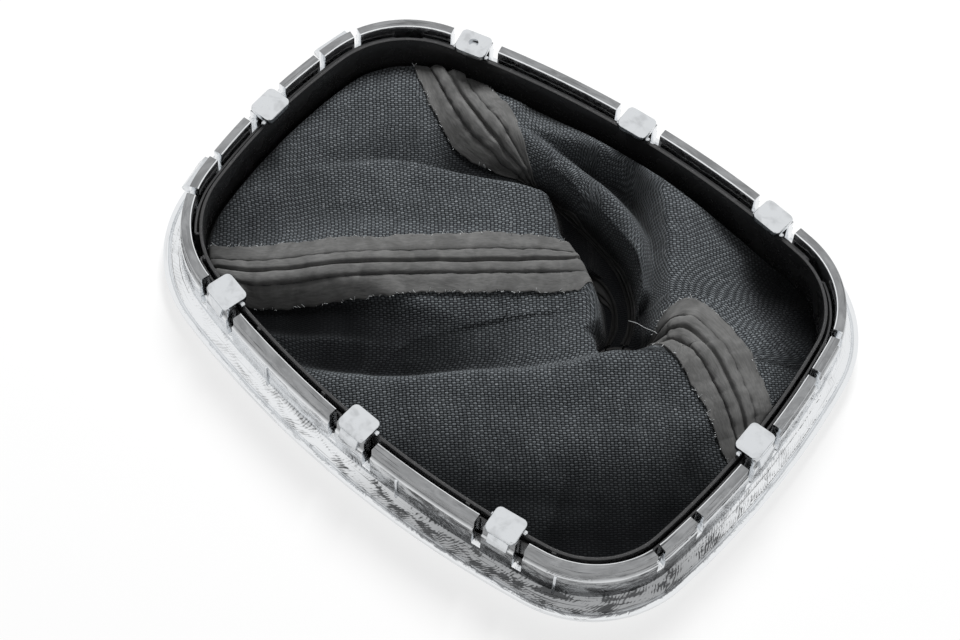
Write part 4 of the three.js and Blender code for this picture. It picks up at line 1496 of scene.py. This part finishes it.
@dataclass(frozen=True)
class SeamLines:
    """Lines beside each seam, and patches between them."""

    cloth: Cloth
    half_gap: float = 0.25
    neck_squeeze: float = 0.07
    evening_rows: int = 26
    evening_share: float = 0.45

    def crowded(self, distance: float, squeeze: Array | float) -> Array | float:
        """A distance beside a seam, crowded in towards the seam but never inside the gap's edge."""
        if abs(distance) <= self.half_gap:
            return distance + 0 * squeeze
        return math.copysign(1.0, distance) * (self.half_gap + squeeze * (abs(distance) - self.half_gap))

    def beside(self, seam: Seam, distance: float, shares: Array) -> Array:
        """Plan line at a distance to the left of a seam, from the ring to the neck."""
        way, cloth = self.cloth.outline, self.cloth
        ring = [float(v) for v in way.at(seam.run, cloth.ring_inner)[:2]]
        neck = [float(v) for v in cloth.neck_point(seam.neck)]
        middle = [ring, *[p[:2] for p in seam.path], neck]
        knots = np.arange(1, len(seam.path) + 1) / (len(seam.path) + 1)
        points = spline(middle, knots)
        ways = spline(middle, knots + 1e-3) - spline(middle, knots - 1e-3)
        ways /= np.linalg.norm(ways, axis=1, keepdims=True)
        narrowed = eased(knots, *(seam.narrow_left if distance > 0 else seam.narrow_right))
        away = self.crowded(distance, 1 - (1 - self.neck_squeeze) * narrowed)[:, None]
        shifted = points + away * np.stack([-ways[:, 1], ways[:, 0]], -1)
        start = [float(v) for v in way.at(seam.run - distance, cloth.ring_inner)[:2]]
        oval = (cloth.neck_half_length + cloth.neck_half_width) / 2
        turned = self.crowded(distance, self.neck_squeeze) / oval
        end = [float(v) for v in cloth.neck_point(seam.neck - turned)]
        return spline([start, *shifted.tolist(), end], shares)

    def _ring_reach(self, turns: Array) -> Array:
        """How far the ring is outside the neck's oval at each turn."""
        cloth = self.cloth

        def inside(grown: Array) -> Array:
            return cloth.outline.against(*cloth.neck_point(turns, grown))[0] <= cloth.ring_inner

        return halved(np.zeros(turns.shape), np.full(turns.shape, 2.0 * cloth.outline.half_length), inside)

    def _grown(self, level: Array, reach: Array) -> Array:
        """Distance from the neck at a level: 0 at the neck and 1 at the ring, even steps near the neck."""
        turns = np.linspace(0, 2 * math.pi, 24)
        least = float(np.min(self._ring_reach(turns)))
        return least * level + (reach - least) * level**3

    def _turns_by_level(self, seam: Seam, distance: float, neck: float, levels: Array) -> Array:
        """Turns of a line beside a seam at each level."""
        found = self._round_neck(self.beside(seam, distance, np.linspace(0, 1, 400)), neck)[::-1]
        reach = self._ring_reach(found[:, 0])
        reached = halved(np.zeros(len(found)), np.ones(len(found)),
                         lambda level: self._grown(level, reach) <= found[:, 1])
        return np.interp(levels, np.maximum.accumulate(reached), found[:, 0])

    def _evened(self, turns: Array) -> Array:
        """Turns averaged over neighbouring levels, with both ends kept."""
        reach = self.evening_rows
        shares = np.hanning(2 * reach + 3)[1:-1]
        padded = np.concatenate([2 * turns[0] - turns[reach:0:-1], turns,
                                 2 * turns[-1] - turns[-2:-reach - 2:-1]])
        return np.convolve(padded, shares / shares.sum(), mode="valid")

    def patch(self, first: Seam, last: Seam, columns: int, rows: int, edge: float) -> tuple[Array, Array]:
        """Plan points of one panel between two seams, columns first."""
        way, cloth = self.cloth.outline, self.cloth
        levels = np.cos(math.pi / 2 * np.linspace(0, 1, rows)) ** 1.5
        u = np.linspace(0, 1, columns)
        run_gap = (last.run - first.run) % way.perimeter
        left = self._turns_by_level(first, -edge, first.neck, levels)
        once_round = 2 * math.pi if last.neck < first.neck else 0
        right = self._turns_by_level(last, edge, last.neck + once_round, levels)
        ring_plan = np.stack(way.at(first.run + edge + u * (run_gap - 2 * edge), cloth.ring_inner)[:2], -1)
        ring = self._round_neck(ring_plan[::-1], right[0])[::-1, 0]
        at_ring = np.clip((ring - left[0]) / (right[0] - left[0]), 0, 1)[:, None]
        across = levels * at_ring + (1 - levels) * u[:, None]
        left = left + (self._evened(left) - left) * eased(u, 0, self.evening_share)[:, None]
        turns = left + (right - left) * across
        return cloth.neck_point(turns, self._grown(levels, self._ring_reach(turns)))

    def _round_neck(self, plan: Array, known: float) -> Array:
        """Plan points as (turn, distance) round the neck; the last turn is near a known one."""
        away, _, turn = self.cloth.from_neck(plan[:, 0], plan[:, 1])
        turn = np.unwrap(turn)
        return np.stack([turn + 2 * math.pi * np.round((known - turn[-1]) / (2 * math.pi)), away], -1)


def laid_sheet(name: str, top: Array, under: Array, uv: Array, finishes: Sequence[Any]) -> Any:
    """A closed sheet from matching grids of points on its two faces.

    Args:
        name: Name of the object.
        top: Upper face, as a grid of x, y, z in millimetres.
        under: Lower face, as a grid of the same shape.
        uv: Cloth lengths at each grid point, in millimetres.
        finishes: Materials of the upper and of the lower face.

    Returns:
        The new object, with a UV map named cloth.
    """
    rows, across, _ = top.shape
    base = np.arange(rows * across).reshape(rows, across)
    low = base + rows * across
    face = np.stack([base[:-1, :-1], base[1:, :-1], base[1:, 1:], base[:-1, 1:]], -1).reshape(-1, 4)
    back = np.stack([low[:-1, :-1], low[:-1, 1:], low[1:, 1:], low[1:, :-1]], -1).reshape(-1, 4)
    loop = np.concatenate([base[:-1, 0], base[-1, :-1], base[1:, -1][::-1], base[0, 1:][::-1]])
    down = loop + rows * across
    rim = np.stack([loop, down, np.roll(down, -1), np.roll(loop, -1)], -1)
    faces = np.concatenate([face, back, rim])
    piece = mesh_object(name, np.concatenate([top.reshape(-1, 3), under.reshape(-1, 3)]), faces, 60)
    slots = np.zeros(len(faces))
    slots[len(face):] = len(finishes) - 1
    dressed(piece, finishes, slots)
    mapped(piece, "cloth", np.concatenate([uv.reshape(-1, 2)] * 2)[corner_vertices(piece)])
    outward(piece)
    return piece


@dataclass(frozen=True)
class Panel:
    """One cut piece of the gaiter between two seams, woven above and coated below."""

    name: str
    node: str
    first: Seam
    last: Seam
    flat: tuple[float, float]
    area: float
    weave_degrees: float = 39.5
    columns: int = 230
    rows: int = 170
    seam_gap: float = 0.5
    tucked_offsets: tuple[float, ...] = (-1.1, -1.9, -2.65)

    def build(self, lines: SeamLines, finishes: Sequence[Any]) -> Any:
        """Make the panel.

        Args:
            lines: Seam lines on the cloth.
            finishes: Woven backing and coated face.

        Returns:
            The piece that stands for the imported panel.
        """
        cloth = lines.cloth
        x, y = lines.patch(self.first, self.last, self.columns, self.rows, self.seam_gap / 2)
        z = cloth.height(x, y)
        run_gap = (self.last.run - self.first.run) % cloth.outline.perimeter
        steps = np.linspace(0, 1, self.columns)
        runs = self.first.run + self.seam_gap / 2 + steps * (run_gap - self.seam_gap)
        tucked = [cloth.outline.at(runs, offset)[:2] for offset in self.tucked_offsets]
        x, y = (np.concatenate([np.stack([t[k] for t in tucked], 1), grid], 1)
                for k, grid in enumerate((x, y)))
        z = np.concatenate([np.full((self.columns, len(tucked)), cloth.clamp_height), z], 1)
        top = np.stack([x, y, z], -1)
        low = cloth.underside(x, y)
        low[:, :len(tucked) + 1] = cloth.clamp_height - cloth.thickness
        under = np.stack([x, y, low], -1)
        piece = laid_sheet(self.name, top, under, cloth.unrolled(x, y, self.weave_degrees), finishes)
        declare(piece, "woven_backing", self.node)
        tuple(side * MM for side in self.flat)
        self.area * MM * MM
        return piece


@dataclass(frozen=True)
class Allowance:
    """The two turned-back seam allowances of one seam, topstitched each side of it."""

    seam: Seam
    flat: tuple[float, float]
    lies_on: tuple[str, str]
    width: float = 7.2
    thickness: float = 0.6
    pressed: float = 0.45
    bead_height: float = 1.05
    bead_middle: float = 1.45
    bead_half: float = 1.5
    bead_fullness: float = 3.2
    stitch_offset: float = 3.0
    stitch_pitch: float = 3.8
    pucker: float = 0.34
    pucker_half: float = 0.75
    edge_rounding: tuple[float, float] = (0.2, 0.12)
    rows: int = 300
    reach: float = 0.985
    lift: float = 0.12
    flare: float = 0.18
    line_reach: float = 8.4
    line_step: float = 0.6
    seed: int = 1

    STATIONS = (0.0, 0.12, 0.26, 0.45, 0.7, 1.0, 1.45, 1.9, 2.3, 2.6, 2.8, 3.0, 3.2, 3.45, 3.9, 4.6, 5.4,
                6.2, 6.8, 7.05, 7.2)
    SEAM_GROOVE = ((0, 0.15, 0.5), (-0.2, 0.0, 0.8))
    EDGE_WAVES = ((3.1, 5.3, 9.7, 17.0), (2.9, 5.9, 8.9, 19.0))
    FACE_WAVES = (4.2, 7.7, 13.0)

    def profile(self) -> tuple[Array, Array]:
        """Distances across the seam, and the height of the allowance there."""
        half = np.array(self.STATIONS)
        bead = 1 - np.abs((half - self.bead_middle) / self.bead_half) ** self.bead_fullness
        risen = self.pressed + (1 - self.pressed) * eased(half, 3.0, 3.9)
        rise = np.maximum(np.clip(bead, 0, 1) ** 0.5 * self.bead_height,
                          np.where(half > self.stitch_offset, self.thickness * risen, 0))
        rise = np.where(half < 0.5, np.interp(half, *self.SEAM_GROOVE), rise)
        length, drop = self.edge_rounding
        past = half - self.width + length
        rise = np.where(past > 0, rise - drop * (past / length), rise)
        return np.concatenate([-half[:0:-1], half]), np.concatenate([rise[:0:-1], rise])

    @staticmethod
    def _wander(rng: np.random.Generator, length: Array, waves: Sequence[float],
                low: float, high: float) -> Array:
        """An uneven line along the seam: one wave of random height and start for each wavelength."""
        return sum(rng.uniform(low, high) * np.sin(length * 2 * math.pi / wave + rng.uniform(0, 6))
                   for wave in waves)

    def _plan(self, lines: SeamLines, shares: Array, across: Array, edges: Sequence[Array]) -> Array:
        """Plan points, row by row, with the two cut edges wandering."""
        distances = np.arange(-self.line_reach, self.line_reach + 0.01, self.line_step)
        table = np.stack([lines.beside(self.seam, d, shares) for d in distances], 0)
        grow, every, columns = 1 + self.flare * eased(shares, 0.1, 0.8), np.arange(self.rows), []
        for d in across:
            moved = d * grow + eased(abs(d), 4.5, self.width) * (edges[0] if d > 0 else edges[1])
            place = np.clip((moved + self.line_reach) / self.line_step, 0, len(distances) - 1.001)
            i = place.astype(int)
            f = (place - i)[:, None]
            columns.append(table[i, every] * (1 - f) + table[i + 1, every] * f)
        return np.stack(columns, 1)

    def _stand(self, rng: np.random.Generator, length: Array, edge: Array, wide: Array) -> Array:
        """Height over the cloth: the profile with its puckers, small waves and curled edges."""
        across, rise = self.profile()
        off = np.abs(across)[None, :]
        dips = np.exp(-((off - self.stitch_offset) / self.pucker_half) ** 2)
        beat = (0.5 + 0.5 * np.cos(2 * math.pi * length / self.stitch_pitch)[:, None]) ** 0.6
        noise = self._wander(rng, length, self.FACE_WAVES, 0.02, 0.07)[:, None]
        rising = rise[None, :] + self.pucker * dips * (beat - 0.6) + noise * (off < 3)
        curl = self.lift * eased(off, 5.2, self.width) * (1 + 1.5 * edge[:, None])
        return (rising * (0.35 + 0.65 * wide) + curl * wide) * eased(length, 0.0, 2.5)[:, None] + 0.04

    def build(self, lines: SeamLines, finish: Any) -> tuple[Any, dict[str, list[Array]]]:
        """Make the allowance.

        Args:
            lines: Seam lines on the cloth.
            finish: Leatherette material.

        Returns:
            The piece, and the paths of its stitch rows and cut edges.
        """
        cloth, rng = lines.cloth, np.random.default_rng(self.seed)
        shares = np.linspace(0.0, self.reach, self.rows)
        across, _ = self.profile()
        centre = lines.beside(self.seam, 0.0, shares)
        length = np.concatenate([[0], np.cumsum(np.linalg.norm(np.diff(centre, axis=0), axis=1))])
        edges = [self._wander(rng, length, waves, 0.05, 0.16) for waves in self.EDGE_WAVES]
        plan = self._plan(lines, shares, across, edges)
        x, y = cloth.outline.kept_inside(plan[..., 0], plan[..., 1], cloth.ring_inner + 0.2)
        normal = cloth.normal(x, y)
        ground = np.stack([x, y, cloth.height(x, y)], -1)
        ends = self.seam.narrow_left, self.seam.narrow_right
        wide = 1 - np.maximum(*(eased(shares, *end) for end in ends))[:, None]
        top = ground + normal * self._stand(rng, length, edges[0], wide)[..., None]
        uv = np.stack([np.broadcast_to(length[:, None], x.shape), np.broadcast_to(across, x.shape)], -1)
        piece = laid_sheet(f"{self.seam.name}_allowance", top, ground - normal * 0.25, uv, [finish])
        declare(piece, "leatherette")
        tuple(side * MM for side in self.flat)
        shown = int(np.argmax(wide[:, 0] < 0.5)) or self.rows
        picked = [int(np.argmin(abs(across - d))) for d in (self.stitch_offset, -self.stitch_offset)]
        return piece, {"rows": [top[:shown, k] for k in picked],
                       "normals": [normal[:shown, k] for k in picked],
                       "edges": [top[:shown, 0], top[:shown, -1]]}


def path_object(name: str, paths: Sequence[Array], normals: Sequence[Array] | None = None) -> Any:
    """Polylines as one mesh of edges, with the cloth's normal at each point."""
    points = np.concatenate(paths)
    edges, start = [], 0
    for path in paths:
        edges += [(start + i, start + i + 1) for i in range(len(path) - 1)]
        start += len(path)
    data = bpy.data.meshes.new(name)
    data.from_pydata((points * MM).tolist(), edges, [])
    if normals is not None:
        kept = data.attributes.new("cloth_normal", "FLOAT_VECTOR", "POINT")
        kept.data.foreach_set("vector", np.concatenate(normals).astype(np.float32).ravel())
    return linked(name, data)


@dataclass(frozen=True)
class NeckBand:
    """Hem band under the panels' ends, round the gathered neck."""

    cloth: Cloth
    gap: float = 0.3
    cloth_thickness: float = 1.1
    inset: float = 0.15
    width: float = 1.7
    thickness: float = 0.7

    def build(self, finish: Any) -> Any:
        """Make the band.

        Args:
            finish: Leatherette material.

        Returns:
            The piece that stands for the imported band.
        """
        top = self.cloth.neck_height - self.cloth_thickness - self.gap
        bottom, outer = top - self.thickness, self.inset + self.width
        corners = [(self.inset, bottom), (outer, bottom), (outer, top), (self.inset, top)]
        section = rounded_profile(corners, 0.25)
        turns = np.linspace(0, 2 * math.pi, 96, endpoint=False)
        grown, z = np.array(section).T
        rings = [self.cloth.neck_point(turns, g) for g in grown]
        n, m = len(turns), len(section)
        points = np.array([(rings[j][0][i], rings[j][1][i], z[j]) for i in range(n) for j in range(m)])
        piece = mesh_object("neck_hem_band", points, loop_faces(n, m))
        dressed(piece, [finish])
        corners = corner_vertices(piece)
        along = corners // m * self.cloth.neck_half_length * 2 * math.pi / n
        mapped(piece, "cloth", np.stack([along, corners % m * 0.8], -1))
        outward(piece)
        return declare(piece, "leatherette", "neck_band")


class Gaiter:
    """Three sewn panels with their allowances, threads, frayed edges and neck band."""

    FRONT_PATH = ((-47, -33, 8.5), (-33, -19.5, 9.8), (-19, -7.5, 10.2), (-3, 6, 10.3), (6, 13.6, 10.2),
                  (11.8, 18.6, 8), (16.6, 18.6, 4.5), (21.6, 15.6, 3.5), (25.2, 11, 3))
    BACK_PATH = ((-47, 39, 10.5), (-39, 35, 11.2), (-31, 32.5, 10), (-24, 31.2, 6.5), (-14, 29.8, 4),
                 (-3, 29, 3.4), (8, 27, 3.2), (18, 23.6, 3.2), (25, 18, 3), (28.6, 12.6, 3))
    END_PATH = ((62, 9, 8.8), (56, 12.5, 10.6), (48, 16, 11.8), (40, 16.5, 12.3))
    LOOSE_THREAD = ((27.4, 13.6, 5.5), (29.4, 13.7, 6.6), (32, 13.2, 8), (34.6, 12.9, 9.6),
                    (35.6, 12.5, 10.4))

    def __init__(self, outline: Outline) -> None:
        """Lay the folds and seams.

        Args:
            outline: Plan of the wall.
        """
        self.front = Seam("front_seam", outline.mirrored(outline.run_at_x(-59)), self.FRONT_PATH, 2.3,
                          (0.42, 0.62), (0.62, 0.8))
        self.back = Seam("back_seam", outline.run_at_x(-53), self.BACK_PATH, 1.45, (0.3, 0.46), (0.3, 0.46))
        self.end = Seam("end_seam", outline.run_at_blunt_y(4), self.END_PATH, 0.3)
        folds = (
            Fold(((-66, -12, 7.4), (-63, 6, 8.2), (-58, 22, 8.6), (-50, 31, 8.8)), 6, 0.12, 0.2, 0.4),
            Fold(((-58, -37, 6), *self.FRONT_PATH[:4], (6, 13.6, 10.2)), 9, 0.35, 0.6),
            Fold(((-54, 42, 8), (-47, 39, 10.5), (-40, 36, 11.4), (-33, 35, 11.8), (-27, 36, 12.3)),
                 5, 0.45, 1.2, 1),
            Fold(((66, 6, 7), *self.END_PATH), 8, 0.4, 0.5, 2.2),
            Fold(((-28, -47, 5), (-17, -43, 8), (-3, -35, 10.5), (9, -24, 12), (20, -14.5, 12.7),
                  (27, -7, 13.5), (32.5, 0.5, 14.6), (37.5, 6, 14.2), (41, 10, 12.8)), 2.2, 2.6, 0.38),
            Fold(((-28, 36, 12.3), (-18, 35.6, 12.8), (-6, 35, 13), (6, 33.8, 13.1), (14, 31.2, 12.9),
                  (20, 26.6, 12.2), (24.6, 21, 10)), 3.6, 3.2, 1.9),
            Fold(((-29, 37.5, 11.2), (-20, 40, 11), (-12, 43, 11.2), (-3, 45.6, 12.3), (7, 46.4, 12.9),
                  (16, 42.6, 13.1), (22.5, 36.5, 13.1), (28, 29.5, 13), (32.5, 22.8, 12.7),
                  (36.5, 16.8, 12.3)), 2.6, 0.46, 2.4),
            Fold(((-54, 0, 7), (-42, 11, 9.2), (-31, 15.5, 10.2), (-21, 20.5, 10.5), (-12, 25, 10.6),
                  (-6, 26.4, 10.6), (-1, 24, 10.5), (5, 19.8, 10.4), (12, 17, 10.2), (19, 14.2, 10),
                  (23.3, 10.5, 9.6), (26.2, 4.5, 9.2)), 1.0, 2.6, 0.14),
        )
        hollows = (
            Hollow(((-30, 23, 8, 0), (-22, 27.2, 6, 0.8), (-14, 29, 4, 0.6), (-6.4, 29.4, 2.6, 0.6),
                    (-1, 27.2, 2.4, 1.5), (4, 25.2, 2.3, 3.2), (10, 23.3, 2.2, 3.5), (16.5, 20.4, 2.2, 3.6),
                    (22, 16.6, 2.2, 3.2), (26, 12, 2.2, 2.9), (29.5, 7.5, 2.2, 2.5)), 4.2),
            Hollow(((-48, -44, 3.4, 0), (-38, -39, 3, 1), (-26, -30, 3.2, 2), (-12, -22, 4.6, 2),
                    (4, -12, 6.4, 1)), 1.2, 3),
        )
        ripples = (
            Ripple(((-50, -10), (-38, 6), (-30, 20)), 0.5, 5),
            Ripple(((20, -40), (34, -22), (44, -6)), 0.5, 5),
        )
        self.cloth = Cloth(outline, folds, hollows, ripples)
        self.lines = SeamLines(self.cloth)

    def panels(self) -> list[Panel]:
        """The three panels."""
        return [
            Panel("front_woven_panel", "front_panel", self.front, self.end, (150, 62), 6600, columns=250),
            Panel("back_woven_panel", "back_panel", self.end, self.back, (150, 62), 4600),
            Panel("end_woven_panel", "end_panel", self.back, self.front, (115, 95), 5200),
        ]

    def build(self, woven: Any, coated: Any, thread: Any, fibre: Any) -> list[Any]:
        """Make all the gaiter's pieces.

        Args:
            woven: Woven backing material.
            coated: Leatherette material.
            thread: Sewing thread material.
            fibre: Bare fibre material.

        Returns:
            The pieces.
        """
        pieces = [panel.build(self.lines, [woven, coated]) for panel in self.panels()]
        stitches, fibres = sewn_stitches(), frayed_fibres()
        front, back, end = (panel.name for panel in self.panels())
        strips = ((self.front, (17, 92), (front, end)), (self.back, (13, 90), (back, end)),
                  (self.end, (17, 42), (front, back)))
        for seed, (seam, flat, lies_on) in enumerate(strips, 1):
            piece, found = Allowance(seam, flat, lies_on, seed=seed).build(self.lines, coated)
            pieces.append(piece)
            rows = path_object(f"{seam.name}_stitches", found["rows"], found["normals"])
            stitches.grow(rows, Pitch=3.8 * MM, Stitch_Length=1.35 * MM, Thread_Radius=0.2 * MM,
                          Seed=seed, Finish=thread)
            pieces.append(declare(rows, "leatherette"))
            edges = path_object(f"{seam.name}_frayed_edge", found["edges"])
            fibres.grow(edges, Pitch=0.55 * MM, Fibre_Radius=0.07 * MM, Fibre_Length=1.1 * MM,
                        Kept_Share=0.42, Seed=seed + 10, Finish=fibre)
            pieces.append(declare(edges, "leatherette"))
        pieces.append(NeckBand(self.cloth).build(coated))
        pieces.append(self._loose_thread(stitches, fibre))
        return pieces

    def _loose_thread(self, stitches: Growth, fibre: Any) -> Any:
        """One pale thread end that hangs into the hole."""
        line = spline(self.LOOSE_THREAD, np.linspace(0, 1, 40))
        piece = path_object("loose_thread", [line], [np.tile((0.0, 0.0, 1.0), (40, 1))])
        stitches.grow(piece, Pitch=0.3 * MM, Stitch_Length=0.3 * MM, Thread_Radius=0.06 * MM,
                      Seed=5, Finish=fibre)
        return declare(piece, "leatherette")


# Studio --------------------------------------------------------------------------------------


@dataclass(frozen=True)
class PhotoCamera:
    """Camera at the photograph's viewing angle."""

    position: tuple[float, float, float] = (148.41, -225.63, 467.69)
    right: tuple[float, float, float] = (0.785, 0.618, 0.039)
    up: tuple[float, float, float] = (-0.5536, 0.6712, 0.4929)
    lens: float = 85.608

    def build(self) -> Any:
        """Make the camera and use it."""
        data = bpy.data.cameras.new("photo_camera")
        data.lens, data.sensor_width, data.clip_start, data.clip_end = self.lens, 36.0, 0.01, 20.0
        camera = linked("photo_camera", data)
        right = Vector(self.right).normalized()
        up = Vector(self.up)
        up = (up - up.dot(right) * right).normalized()
        turned = Matrix((right, up, right.cross(up))).transposed().to_4x4()
        camera.matrix_world = Matrix.Translation(Vector(self.position) * MM) @ turned
        bpy.context.scene.camera = camera
        return camera


@dataclass(frozen=True)
class Softbox:
    """A soft lamp that looks at the middle of the floor."""

    name: str
    place: tuple[float, float, float]
    size: tuple[float, float]
    power: float

    def build(self) -> None:
        """Make the lamp."""
        data = bpy.data.lights.new(self.name, "AREA")
        data.shape, data.size, data.size_y, data.energy = "RECTANGLE", *self.size, self.power
        lamp = linked(self.name, data)
        lamp.visible_glossy = False
        lamp.location = self.place
        lamp.rotation_euler = Vector(self.place).to_track_quat("Z", "Y").to_euler()


@dataclass(frozen=True)
class Studio:
    """Pale floor, soft lamps, and dark cards that show only in reflections."""

    floor_half: float = 3.0
    floor_glow: float = 0.75
    world_light: float = 0.12
    lamps: tuple[Softbox, ...] = (
        Softbox("key_softbox", (-0.36, 0.62, 0.84), (0.40, 0.40), 16.5),
        Softbox("fill_softbox", (0.8, -0.3, 0.9), (0.6, 0.6), 1.6),
    )
    cards: tuple[tuple[tuple[float, float, float], tuple[float, float]], ...] = (
        ((0.30, -0.55, 0.30), (0.35, 0.16)),
        ((-0.55, -0.20, 0.22), (0.30, 0.10)),
        ((0.55, 0.25, 0.30), (0.22, 0.14)),
    )

    def _floor(self) -> None:
        """A pale floor, partly lit by itself as the camera and reflections see it."""
        half = self.floor_half / MM
        points = np.array([(-half, -half, 0), (half, -half, 0), (half, half, 0), (-half, half, 0)])
        floor = mesh_object("floor", points, [(0, 1, 2, 3)])
        sheet = Shading("pale_floor", Roughness=0.9, Specular_IOR_Level=0.0)
        shader = sheet.shader
        shader.inputs["Base Color"].default_value = colour((0.9, 0.9, 0.9))
        path = sheet.put("LightPath")
        seen = Val(sheet, path.outputs["Is Camera Ray"]).most(Val(sheet, path.outputs["Is Glossy Ray"]))
        glow = sheet.put("Emission", Color=colour((1.0, 1.0, 1.0)), Strength=1.0)
        blend = sheet.put("MixShader")
        for socket, value in zip(blend.inputs, (seen * self.floor_glow, shader.outputs[0], glow.outputs[0])):
            feed(sheet.tree, socket, value)
        feed(sheet.tree, sheet.tree.nodes["Material Output"].inputs[0], blend.outputs[0])
        floor.data.materials.append(sheet.material)

    def _cards(self) -> None:
        """Dark cards round the bench."""
        for i, (place, (width, height)) in enumerate(self.cards):
            facing = Vector(place).to_track_quat("Z", "Y").to_matrix()
            corners = [Vector(place) + facing @ Vector((sx * width / 2, sy * height / 2, 0))
                       for sx, sy in ((-1, -1), (1, -1), (1, 1), (-1, 1))]
            card = mesh_object(f"card_{i}", np.array(corners) / MM, [(0, 1, 2, 3)])
            sheet = Shading(f"dark_card_{i}", Roughness=1.0, Specular_IOR_Level=0.0)
            card.data.materials.append(sheet.finish((0.01, 0.01, 0.01)))
            card.visible_camera = card.visible_diffuse = card.visible_shadow = False

    def _world(self) -> None:
        """A white world as the camera and reflections see it, and a weak one as a light."""
        world = bpy.data.worlds.new("studio")
        world.use_nodes = True
        tree = world.node_tree
        back = tree.nodes["Background"]
        back.inputs[0].default_value = colour((1.0, 1.0, 1.0))
        path = add_node(tree, "ShaderNodeLightPath")
        seen = add_node(tree, "ShaderNodeMath", {"operation": "MAXIMUM"})
        for socket, ray in zip(seen.inputs, ("Is Camera Ray", "Is Glossy Ray")):
            feed(tree, socket, path.outputs[ray])
        level = add_node(tree, "ShaderNodeMapRange", Value=seen.outputs[0],
                         To_Min=self.world_light, To_Max=1.0)
        feed(tree, back.inputs[1], level.outputs[0])
        bpy.context.scene.world = world

    def build(self) -> None:
        """Make the floor, the lamps, the cards and the world."""
        bpy.context.scene.view_settings.view_transform = "Standard"
        self._floor()
        self._cards()
        self._world()
        for lamp in self.lamps:
            lamp.build()


def main() -> None:
    """Build the studio and each sub-assembly."""
    logging.basicConfig(level=logging.INFO, format="%(name)s: %(message)s")
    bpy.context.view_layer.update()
    PhotoCamera().build()
    Studio().build()
    outline = Outline()
    # The clips' plating is the wall's plating painted dimmer, as dimmer reflections.
    TrimFrame(outline).build(PlatedFinish(Tooling.SWIRLED).build(),
                             PlatedFinish(bright=(0.68, 0.70, 0.72)).build())
    RetainingRing(outline).build(GlossBlackFinish().build())
    gaiter = Gaiter(outline)
    gaiter.build(
        WovenFinish("woven_backing").build(),
        LeatheretteFinish().build(),
        ThreadFinish("sewing_thread", (0.03, 0.03, 0.032), (0.008, 0.008, 0.009)).build(),
        ThreadFinish("bare_fibre", (0.72, 0.74, 0.75), (0.42, 0.44, 0.45), 0.9).build(),
    )


if __name__ == "__main__":
    main()
